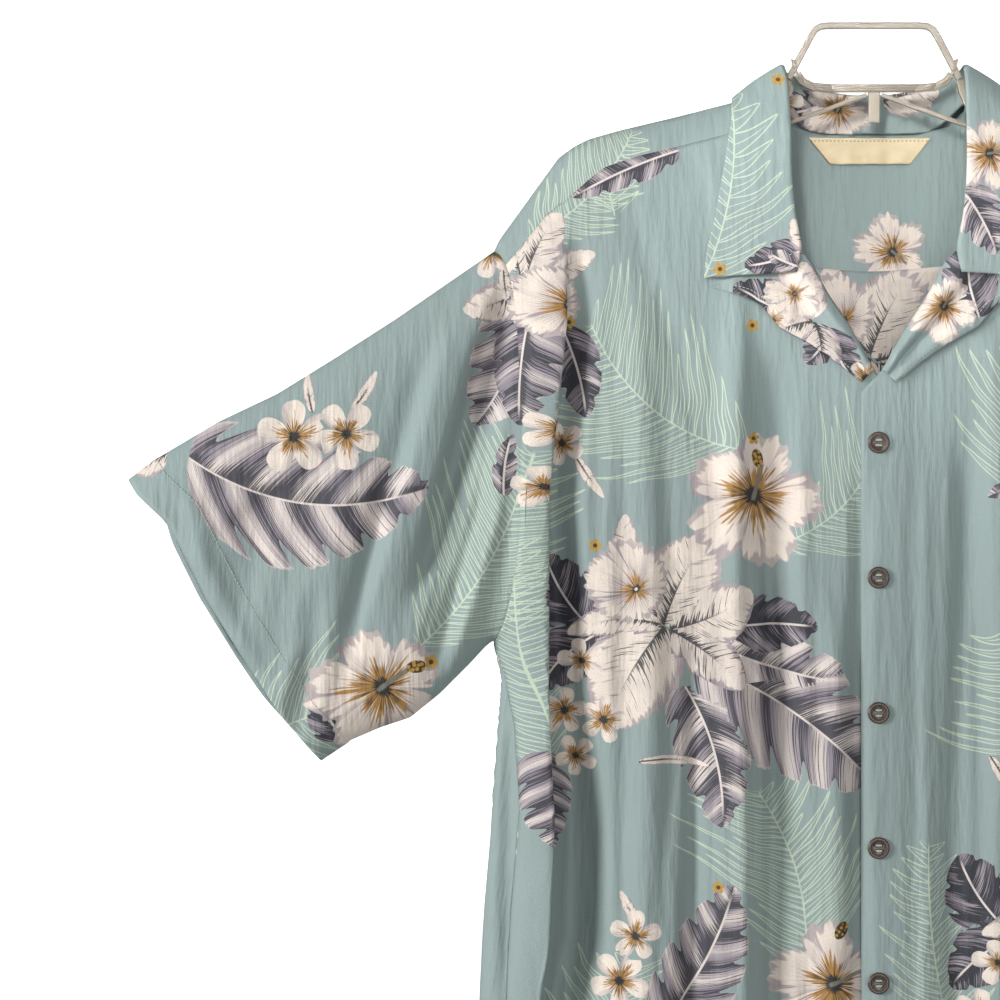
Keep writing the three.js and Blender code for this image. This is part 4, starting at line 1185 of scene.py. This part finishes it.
# Roll line x and z, then the free edge's x and z
LAPEL = [
    (-54, -159, -118, -184),
    (-47, -166, -98, -190),
    (-40, -179, -82, -197),
    (-33, -192, -70, -212),
    (-20, -211, -48, -224),
    (-10, -228, -28, -238),
    (-3, -242, -12, -251),
]
LAPEL_PRINT = {
    "leaf": [
        ("high", -46, -206, 60, 158, 0.34, 3.2, 0.85, 0.05),
        ("low", -42, -210, 48, 236, 0.32, 3.0, 0.55, 0.05),
        ("high", -38, -214, 48, -58, 0.32, 3.0, 0.75, -0.05),
        ("high", 70, -206, 60, 98, 0.34, 3.2, 0.75, 0.05),
    ],
    "petal": [
        (-46, -206, 40, 100, 0.36, 0.3, 0.3, 0.05),
        (-46, -208, 40, 200, 0.34, 0.3, 0.2, -0.05),
        (-44, -210, 44, -84, 0.32, 0.3, 0.4, 0.05),
    ],
    "bloom": [(-60, -190, 22, 30, 0.30, 0.8, 0.30), (44, -200, 26, 60, 0.30, 1.0, 0.44)],
    "blossom": [(-9, -248, 15, 60, 0.62, 0.1, 0.62), (-74, -208, 13, 20, 0.62, 0.1, 0.5)],
    "pollen": [(-88, -211, 5.2, 0, 1, 1)],
}


def lapel_place(mirror):
    table = [(index, *row) for index, row in enumerate(LAPEL)]

    def place(u, v):
        at = (1 - v) * (len(LAPEL) - 1)
        roll_x, roll_z = along(table, at, 0, 1), along(table, at, 0, 2)
        edge_x, edge_z = along(table, at, 0, 3), along(table, at, 0, 4)
        x, z = mix(roll_x, edge_x, u), mix(roll_z, edge_z, u)
        roll = LAPEL_ROLL * np.sin(math.pi * np.minimum(u / 0.42, 1))
        flare = LAPEL_FLARE * np.sin(math.pi * np.clip((u - 0.5) / 0.62, 0, 1))
        sprung = (roll + flare) * smooth(at / 1.6) * smooth(3.4 - at / 2)
        lift = LAPEL_LIFT * smooth(u / 0.05 + 0.3) + sprung
        layer = "front_right" if mirror > 0 else "front_left"
        points, normals = on_cloth(layer, x * mirror, z, lift)
        return points, normals, np.column_stack([x * mirror, z])

    return place


for side, mirror in (("right", 1), ("left", -1)):
    lapel = sheet_mesh(f"lapel_flap_{side}", *LAPEL_FACES, lapel_place(mirror), wall=LAPEL_WALL)
    cloth_piece(lapel.name, f"lapel_{side}", [(LAPEL_PRINT, (0, 0), None)])

# Collar: one stiffened strip of two plies sewn to the neckline and folded over along its length. Its
# two pointed leaves lie open on the fronts, with a row of stitching 6 mm inside the edge.
COLLAR_WALL = 1.6
COLLAR_ROLL = 1.8
COLLAR_BOW = 1.2
COLLAR_FACES = (210, 56)
# Share of the strip's width where the stand ends, how much the fold takes, and the leaf's share
COLLAR_STAND = 0.24
COLLAR_FOLD = 0.14
COLLAR_LEAF = 0.62
LEAF_FROM = 1 - COLLAR_LEAF
# From the front corner to the middle of the back: x, y, z of the seam, the fold and the free edge
COLLAR = [
    ((-60.5, -23.6, -166), (-58, -26, -174), (-122, -23.6, -178)),
    ((-62, -23.4, -150), (-55, -26.2, -156), (-120, -23.4, -158)),
    ((-63, -22.6, -130), (-59, -26, -134), (-114, -22.2, -134)),
    ((-66.8, -22, -100), (-61.5, -26.3, -106), (-109, -22.2, -106)),
    ((-70.8, -18.8, -72), (-62, -24, -74), (-104, -19.2, -76)),
    ((-71, -10.5, -55), (-63, -13, -42), (-102, -14.6, -62)),
    ((-70.6, 0, -42.8), (-64, 0, -27), (-100, 0, -49.2)),
    ((-68.6, 8.6, -47), (-61, 9, -30), (-98, 12.4, -57)),
    ((-63.6, 13.6, -53.4), (-54, 16, -32), (-88, 20.4, -72)),
    ((-45.5, 22.2, -68.2), (-40, 25, -38), (-58, 25.6, -100)),
    ((-22, 24.6, -71.1), (-20, 27.5, -42.5), (-28, 27.4, -107)),
    ((0, 25.2, -71.1), (0, 28.5, -43.5), (0, 27.6, -110)),
]
COLLAR_PRINT = {
    "frond": [
        ("low", 869, -196, 150, 79, 0.27, 10, 1.3, -0.08),
        ("low", 1130, -60, 130, -101, 0.27, 10, 1.3, 0.08),
    ],
    "leaf": [
        ("low", 948, -158, 44, 196, 0.30, 2.6, 0.85, 0.05),
        ("high", 950, -172, 30, 158, 0.30, 2.0, 0.3, 0.05),
        ("low", 1052, -110, 60, -60, 0.3, 3.2, 0.4, 0.05),
        ("high", 1968, -50, 50, 190, 0.3, 3.2, 0.6, 0.05),
    ],
    "petal": [(952, -160, 26, 120, 0.30, 0.2, 0.2, 0.05), (2010, -48, 40, 10, 0.4, 0.3, 0.1, 0.05)],
    "bloom": [(1976, -56, 26, 60, 0.28, 1.0, 0.44), (1074, -92, 28, 10, 0.30, 1.0, 0.44)],
    "blossom": [(1938, -50, 16, 10, 0.62, 0.1, 0.5), (1028, -40, 18, 30, 0.62, 0.1, 0.5)],
    "pollen": [(931, -38, 5.4, 0, 1, 1), (889, -172, 5.4, 40, 1, 1)],
}


def through(points, at):
    """A smooth curve through the guide points, with at counted in points."""
    points = np.array(points, float)
    padded = np.vstack([2 * points[0] - points[1], points, 2 * points[-1] - points[-2]])
    k = np.clip(np.floor(at).astype(int), 0, len(points) - 2)
    t = (at - k)[:, None]
    a, b, c, d = (padded[k + step] for step in range(4))
    return 0.5 * (
        2 * b + (c - a) * t + (2 * a - 5 * b + 4 * c - d) * t**2 + (3 * b - a - 3 * c + d) * t**3
    )


def unit(vectors):
    return vectors / np.linalg.norm(vectors, axis=1, keepdims=True)


def collar_place(u, v):
    mirrored = [[(-x, y, z) for x, y, z in row] for row in COLLAR[-2::-1]]
    rows = [list(row) for row in COLLAR] + mirrored
    at = u * (len(rows) - 1)
    seam, fold, edge = (through([row[k] for row in rows], at) for k in range(3))
    ahead = through([row[1] for row in rows], np.minimum(at + 0.05, len(rows) - 1))
    behind = through([row[1] for row in rows], np.maximum(at - 0.05, 0))
    tangent = unit(ahead - behind)
    up = unit(fold - edge)
    out = unit(np.cross(up, tangent))
    centre = fold - up * COLLAR_ROLL

    def section(v):
        stand = np.clip(v / COLLAR_STAND, 0, 1)[:, None]
        swing = (np.clip((v - COLLAR_STAND) / COLLAR_FOLD, 0, 1) - 0.5)[:, None] * math.pi
        fall = np.clip((v - LEAF_FROM) / COLLAR_LEAF, 0, 1)[:, None]
        rolled = centre + COLLAR_ROLL * (up * np.cos(swing) + out * np.sin(swing))
        first = centre - COLLAR_ROLL * out
        last = centre + COLLAR_ROLL * out
        leaf = mix(last, edge, fall) + out * COLLAR_BOW * np.sin(math.pi * fall)
        point = np.where(v[:, None] < COLLAR_STAND, mix(seam, first, stand), rolled)
        return np.where(v[:, None] > LEAF_FROM, leaf, point)

    points = section(v)
    run = section(np.minimum(v + 0.01, 1)) - section(np.maximum(v - 0.01, 0))
    normals = unit(np.cross(run, tangent))
    stand_side = v < 0.31
    flat = np.column_stack([points[:, 0] + np.where(stand_side, 2000, 1000), points[:, 2]])
    return points, normals, flat


collar = sheet_mesh("collar_strip", *COLLAR_FACES, collar_place, wall=COLLAR_WALL, offset=0)
cloth_piece("collar_strip", "collar", [(COLLAR_PRINT, (0, 0), None)])

# Label: a blank woven tab of cream satin, wider at the top, sewn by its upper edge inside the back of
# the neck so that its lower edge waves a little.
LABEL = {"top": 44, "bottom": 29, "top_z": -74, "height": 19, "wall": 0.6, "wave": 1.2, "waves": 11}
LABEL_SEAM = 2.2  # from its upper edge
LABEL_FACES = (72, 14)
SATIN_CREAM = (0.66, 0.55, 0.355)
SATIN_SHADE = (0.50, 0.40, 0.24)
SATIN_STITCH = (0.27, 0.22, 0.15)


def label_place(u, v):
    down = 1 - v
    share = 2 * u - 1
    x = share * mix(LABEL["top"], LABEL["bottom"], down)
    z = LABEL["top_z"] - LABEL["height"] * down
    wave = LABEL["wave"] * (np.sin(share * LABEL["waves"]) + 1) * down
    points, normals = on_cloth("back", x, z, -WALL - 3 * SEAM - wave)
    return points, normals, np.column_stack([x, z])


def satin_material():
    material, tree, shader = new_material("Woven satin")
    x, z = cloth_place(tree)
    ribs = (z * (2 * math.pi / 0.7)).math("SINE") * 0.5 + grain(x * 0.35, z * 6, 0.0, 2.0)
    cloud = grain(x * 0.08, z * 0.15, 0.0, 2.0)
    colour = tint(tree, SATIN_CREAM, SATIN_SHADE, (cloud * 0.8 + ribs * 0.3 - 0.1).clamp())
    top = (z + (-LABEL["top_z"] + LABEL_SEAM)).size()
    stitches = top.ramp(0.7, 0.3) * (x * 2.2).math("SINE").ramp(0.0, 0.4)
    seam = tint(tree, colour, SATIN_STITCH, stitches)
    tree.links.new(seam, shader.inputs["Base Color"])
    tree.links.new(bump(tree, ribs, 0.25, 0.2), shader.inputs["Normal"])
    shader.inputs["Roughness"].default_value = 0.5
    shader.inputs["Sheen Weight"].default_value = 0.15
    return material


label = sheet_mesh("neck_tab", *LABEL_FACES, label_place, wall=LABEL["wall"])
label.data.materials.append(satin_material())
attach(label, "root")
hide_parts("neck_label")

# Buttons: turned from coconut shell, dark brown with a raised rim round a shallow dish, and four
# holes through which thread sews them to the left front in two bars.
BUTTON = {"hole": 1, "hole_at": 1.9, "count": 6}
# Radius and depth behind the front, from the middle of the dish to the middle of the back
BUTTON_PROFILE = [
    (0, 0.75), (4.3, 0.75), (5.1, 0.45), (5.7, 0.1), (6.4, 0), (7.1, 0.2),
    (7.6, 0.75), (7.65, 1.3), (7.2, 1.9), (6.4, 2.15), (0, 2.2),
]
BUTTON_THREAD = {"radius": 0.3, "end_radius": 0.32, "apart": 0.32, "inset": 0.55}
SHELL_DARK = (0.018, 0.011, 0.008)
SHELL_BROWN = (0.085, 0.046, 0.026)
SHELL_SPECK = (0.13, 0.08, 0.05)
THREAD_PALE = (0.47, 0.53, 0.47)
THREAD_SHADE = (0.27, 0.33, 0.30)


def object_place(tree):
    """Where a point lies in the part's own frame, in millimetres."""
    place = tree.nodes.new("ShaderNodeTexCoord")
    split = tree.nodes.new("ShaderNodeSeparateXYZ")
    tree.links.new(place.outputs["Object"], split.inputs[0])
    return [Sum(tree, part) * 1000 for part in split.outputs]


def coconut_material():
    material, tree, shader = new_material("Coconut shell")
    x, y, z = object_place(tree)
    fibre = grain(x * 0.35 + z * 0.1, z * 2.6 - x * 0.5, y * 0.8, 3.0)
    speck = grain(x * 2.1, z * 2.1, y * 2.1, 2.0)
    colour = tint(tree, SHELL_DARK, SHELL_BROWN, fibre.ramp(0.38, 0.7))
    specked = tint(tree, colour, SHELL_SPECK, speck.ramp(0.6, 0.72) * 0.5)
    tree.links.new(specked, shader.inputs["Base Color"])
    gloss = 0.3 + speck * 0.2
    tree.links.new(gloss.socket, shader.inputs["Roughness"])
    tree.links.new(bump(tree, fibre, 0.15, 0.2), shader.inputs["Normal"])
    shader.inputs["Coat Weight"].default_value = 0.3
    shader.inputs["Coat Roughness"].default_value = 0.2
    return material


def thread_material():
    material, tree, shader = new_material("Sewing thread")
    x, y, z = object_place(tree)
    twist = ((x + z + y) * (2 * math.pi / 0.5)).math("SINE") * 0.5 + 0.5
    own = grain(x * 0.3, z * 0.3, y * 0.3, 1.0)
    colour = tint(tree, THREAD_PALE, THREAD_SHADE, (twist * 0.5 + own * 0.4).clamp())
    tree.links.new(colour, shader.inputs["Base Color"])
    shader.inputs["Roughness"].default_value = 0.7
    return material


coconut = coconut_material()
thread = thread_material()


def rod(bm, start, end, radius, segments=4):
    """A short straight rod between two places in millimetres."""
    start, end = Vector(start) * MM, Vector(end) * MM
    turn = (end - start).to_track_quat("Z", "Y").to_matrix().to_4x4()
    bmesh.ops.create_cone(
        bm,
        cap_ends=True,
        segments=segments,
        radius1=radius * MM,
        radius2=radius * MM,
        depth=(end - start).length,
        matrix=Matrix.Translation((start + end) / 2) @ turn,
    )


def finished_piece(bm, name, material):
    bmesh.ops.recalc_face_normals(bm, faces=bm.faces)
    mesh = new_mesh(bm, name)
    mesh.materials.append(material)
    piece = new_object(name, mesh)
    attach(piece, "root")
    return piece


def button_piece(node, name):
    low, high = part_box(node)
    middle = Vector(((low[0] + high[0]) / 2, low[1], (low[2] + high[2]) / 2))
    bm = bmesh.new()
    profile = [bm.verts.new(Vector((r, depth, 0)) * MM + middle) for r, depth in BUTTON_PROFILE]
    edges = [bm.edges.new(pair) for pair in zip(profile, profile[1:])]
    bmesh.ops.spin(
        bm, geom=profile + edges, cent=middle, axis=(0, 1, 0), angle=2 * math.pi, steps=48, use_merge=True
    )
    bmesh.ops.remove_doubles(bm, verts=bm.verts, dist=0.001 * MM)
    button = finished_piece(bm, name, coconut)
    holes = bmesh.new()
    for x in (-1, 1):
        for z in (-1, 1):
            at = middle / MM + Vector((x, 0, z)) * BUTTON["hole_at"]
            rod(holes, at - Vector((0, 3, 0)), at + Vector((0, 5, 0)), BUTTON["hole"], 14)
    bmesh.ops.recalc_face_normals(holes, faces=holes.faces)
    cutter = new_object("holes", new_mesh(holes, "holes"))
    cut = button.modifiers.new("Holes", "BOOLEAN")
    cut.object = cutter
    apply_modifiers(button).shade_smooth()
    bpy.data.objects.remove(cutter)
    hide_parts(node)
    return middle / MM


sewn = bmesh.new()
for number in range(1, BUTTON["count"] + 1):
    centre = button_piece(f"button_{number}", f"coconut_button_{number}")
    for z in (-1, 1):
        row = centre + Vector((0, BUTTON_THREAD["inset"], z * BUTTON["hole_at"]))
        for offset in (-BUTTON_THREAD["apart"], BUTTON_THREAD["apart"]):
            left = row + Vector((-BUTTON["hole_at"], 0, offset))
            right = row + Vector((BUTTON["hole_at"], 0, offset))
            rod(sewn, left, right, BUTTON_THREAD["radius"], 8)
            for end in (left, right):
                front, behind = end - Vector((0, 0.25, 0)), end + Vector((0, 1.5, 0))
                rod(sewn, front, behind, BUTTON_THREAD["end_radius"], 8)
button_thread = finished_piece(sewn, "button_thread", thread)

# Stitching: single rows of lockstitch in pale thread along the hems, round the collar 6 mm inside its
# edge and along the lapels.
STITCH = {"pitch": 2.9, "length": 2.0, "radius": 0.23, "sink": 0.05}
SLEEVE_STITCH = 23.5  # from the sleeve's edge
HEM_STITCH = {"front": 20 / 700, "back": 20 / 690}  # from the hem's edge, as a share of the height
LAPEL_STITCH = {"across": 0.86, "along": 0.96}
stitch_rng = np.random.default_rng(5)


def stitch_row(bm, points, normals):
    """Adds stitches along a path of places on the cloth, in millimetres."""
    steps = np.linalg.norm(np.diff(points, axis=0), axis=1)
    run = np.concatenate([[0], np.cumsum(steps)])
    for middle in np.arange(STITCH["pitch"], run[-1] - STITCH["pitch"], STITCH["pitch"]):
        half = STITCH["length"] / 2 * stitch_rng.uniform(0.88, 1.05)
        ends = []
        for at in (middle - half, middle + half):
            point = [np.interp(at, run, points[:, k]) for k in range(3)]
            normal = [np.interp(at, run, normals[:, k]) for k in range(3)]
            ends.append(Vector(point) + Vector(normal) * (STITCH["radius"] - STITCH["sink"]))
        rod(bm, ends[0], ends[1], STITCH["radius"])


path_share = np.linspace(0, 1, 400)
for side, mirror in (("right", 1), ("left", -1)):
    bm = bmesh.new()
    place = sleeve_place(mirror)
    length, allowance = sleeve_length(sleeve_down(path_share))
    along_sleeve = 1 - SLEEVE_STITCH / (length + allowance)
    stitch_row(bm, *place(along_sleeve, path_share)[:2])
    finished_piece(bm, f"sleeve_hem_thread_{side}", thread)

    bm = bmesh.new()
    flap = lapel_place(mirror)
    lapel_u = np.full_like(path_share, LAPEL_STITCH["across"])
    stitch_row(bm, *flap(lapel_u, path_share * LAPEL_STITCH["along"])[:2])
    finished_piece(bm, f"lapel_thread_{side}", thread)

    bm = bmesh.new()
    edge = front_place(mirror)
    stitch_row(bm, *edge(path_share, np.full_like(path_share, HEM_STITCH["front"]))[:2])
    finished_piece(bm, f"front_hem_thread_{side}", thread)

bm = bmesh.new()
stitch_row(bm, *back_place(path_share, np.full_like(path_share, HEM_STITCH["back"]))[:2])
finished_piece(bm, "back_hem_thread", thread)

COLLAR_STITCH = 6
bm = bmesh.new()
fine_share = np.linspace(0, 1, 1200)
leaf_run = np.linalg.norm(
    collar_place(fine_share, np.full_like(fine_share, LEAF_FROM))[0]
    - collar_place(fine_share, np.ones_like(fine_share))[0],
    axis=1,
)
row_v = 1 - COLLAR_LEAF * COLLAR_STITCH / leaf_run
row_points, row_normals, _ = collar_place(fine_share, row_v)
inside = slice(12, len(fine_share) - 12)
outward = row_normals[inside] * (COLLAR_WALL / 2)
stitch_row(bm, row_points[inside] + outward, row_normals[inside])
for end in (0.0105, 0.9895):
    end_v = np.linspace(0.44, float(row_v[20]), 60)
    end_points, end_normals, _ = collar_place(np.full_like(end_v, end), end_v)
    stitch_row(bm, end_points + end_normals * (COLLAR_WALL / 2), end_normals)
finished_piece(bm, "collar_thread", thread)

# Hanger: one clear plastic moulding with a wide loop, a crossbar and arms inside the shoulders. It shows
# as pale warm grey round an almost clear middle. Its rims, where the surface turns away, carry painted
# shade and are drawn less see-through, in place of the light that the clear plastic bends there.
PLASTIC_FACE = (0.46, 0.405, 0.33)
# the dark colour of the painted shade on the hanger's rims
PLASTIC_RIM_SHADE = (0.16, 0.13, 0.095)


def clear_plastic():
    material, tree, shader = new_material("Clear plastic")
    x, y, z = object_place(tree)
    facing = tree.nodes.new("ShaderNodeLayerWeight")
    facing.inputs["Blend"].default_value = 0.42
    # edge: how far the surface turns away. It darkens the rims with painted shade and, below, makes them
    # less see-through
    edge = Sum(tree, facing.outputs["Facing"])
    flow = grain(x * 0.09, z * 0.09, y * 0.3, 2.0)
    scuffs = grain(x * 1.4, z * 0.5, y, 3.0)
    colour = tint(tree, PLASTIC_FACE, PLASTIC_RIM_SHADE, (edge * 0.9 + (flow - 0.5) * 0.9).clamp())
    tree.links.new(colour, shader.inputs["Base Color"])
    solid = (0.72 + edge * 0.6 + (flow - 0.5) * 0.3).clamp()
    tree.links.new(solid.socket, shader.inputs["Alpha"])
    gloss = 0.1 + scuffs * 0.16
    tree.links.new(gloss.socket, shader.inputs["Roughness"])
    shader.inputs["IOR"].default_value = 1.49
    shader.inputs["Coat Weight"].default_value = 0.4
    shader.inputs["Coat Roughness"].default_value = 0.08
    return material


plastic = clear_plastic()
RIB = {"apart": 1.1, "y": -2.7, "radius": 0.55}
CROSSBAR = [(-57.5, -22), (-56.5, -29), (-50.5, -37.5), (-43, -41), (-30, -42)]
ribs = bmesh.new()
for rank in (-1, 0, 1):
    shift = rank * RIB["apart"]
    line = [(x + shift, z - rank * (0.4 + 1.3 * index / 4)) for index, (x, z) in enumerate(CROSSBAR)]
    line += [(-x, z) for x, z in reversed(line)]
    for start, end in zip(line, line[1:]):
        rod(ribs, (start[0], RIB["y"], start[1]), (end[0], RIB["y"], end[1]), RIB["radius"], 10)
rib_piece = finished_piece(ribs, "hanger_ribs", plastic)
rib_piece.data.shade_smooth()
for node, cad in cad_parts.items():
    if node.startswith("hanger_"):
        cad.data.materials.clear()
        cad.data.materials.append(plastic)

# Stage: a pale paper floor below the hem and a pale wall behind, with soft boxes in front and behind.
# The paper glows to the camera alone and throws no light back, so that it doesn't flatten the folds.
FLOOR_Z = -1.25
WALL_Y = 4
PAPER_SIZE = 12
PAPER_WHITE = (0.92, 0.92, 0.915, 1)
WORLD = {"seen": 0.67, "light": 0.33}


def stage_plane(name, matrix):
    bm = bmesh.new()
    bmesh.ops.create_grid(bm, x_segments=1, y_segments=1, size=PAPER_SIZE, matrix=matrix)
    plane = new_object(name, new_mesh(bm, name))
    return plane


paper, paper_tree, paper_shader = new_material("Pale paper")
paper_shader.inputs["Base Color"].default_value = PAPER_WHITE
paper_ray = paper_tree.nodes.new("ShaderNodeLightPath")
paper_tree.links.new(paper_ray.outputs["Is Camera Ray"], paper_shader.inputs["Emission Color"])
paper_shader.inputs["Emission Strength"].default_value = 0.9
paper_shader.inputs["Roughness"].default_value = 0.9
floor = stage_plane("floor", Matrix.Translation((0, 0, FLOOR_Z)))
wall = stage_plane("wall", Matrix.Translation((0, WALL_Y, 0)) @ Matrix.Rotation(math.pi / 2, 4, "X"))
for plane in (floor, wall):
    plane.data.materials.append(paper)
    plane.visible_diffuse = False
    plane.visible_glossy = False

world = bpy.data.worlds.new("Studio")
bpy.context.scene.world = world
world.use_nodes = True
sky = world.node_tree.nodes["Background"]
sky.inputs["Color"].default_value = (1, 1, 1, 1)
world_ray = world.node_tree.nodes.new("ShaderNodeLightPath")
world_glow = Sum(world.node_tree, world_ray.outputs["Is Camera Ray"]) * WORLD["seen"] + WORLD["light"]
world.node_tree.links.new(world_glow.socket, sky.inputs["Strength"])


def soft_box(name, place, aim, size, power, spread=180):
    light = bpy.data.lights.new(name, "AREA")
    light.size = size
    light.energy = power
    light.spread = math.radians(spread)
    lamp = new_object(name, light)
    lamp.location = place
    lamp.rotation_euler = (Vector(aim) - Vector(place)).to_track_quat("-Z", "Y").to_euler()


soft_box("Key", (-2.7, -1.3, 0.1), (-0.2, 0, -0.5), 0.8, 103)
soft_box("Fill", (0.5, -2.4, -0.6), (-0.1, 0, -0.6), 1.2, 24)
soft_box("Back light", (2.6, 1.8, 0.4), (0.1, 0, -0.5), 0.8, 60)
soft_box("Neck light", (-0.5, -1.5, 0.4), (0, 0, -0.11), 0.3, 0.3, 16)

# Camera: straight in front, framed as in the photograph, where 1000 pixels span 700 mm.
PIXEL = 0.70 * MM
PHOTO = 1000  # pixels across and down
MOUNT_PIXEL = (878, 24)
FRAME_CENTRE = Vector(((PHOTO / 2 - MOUNT_PIXEL[0]) * PIXEL, 0, (MOUNT_PIXEL[1] - PHOTO / 2) * PIXEL))
SENSOR = 36
CAMERA_DISTANCE = 1.9
SHIRT_FRONT = -0.02
camera_data = bpy.data.cameras.new("Camera")
camera_data.sensor_width = SENSOR
camera_data.lens = SENSOR * CAMERA_DISTANCE / (PHOTO * PIXEL)
camera = new_object("Camera", camera_data)
camera.location = FRAME_CENTRE + Vector((0, SHIRT_FRONT - CAMERA_DISTANCE, 0))
camera.rotation_euler = (math.pi / 2, 0, 0)
bpy.context.scene.camera = camera
bpy.context.scene.view_settings.view_transform = "Standard"
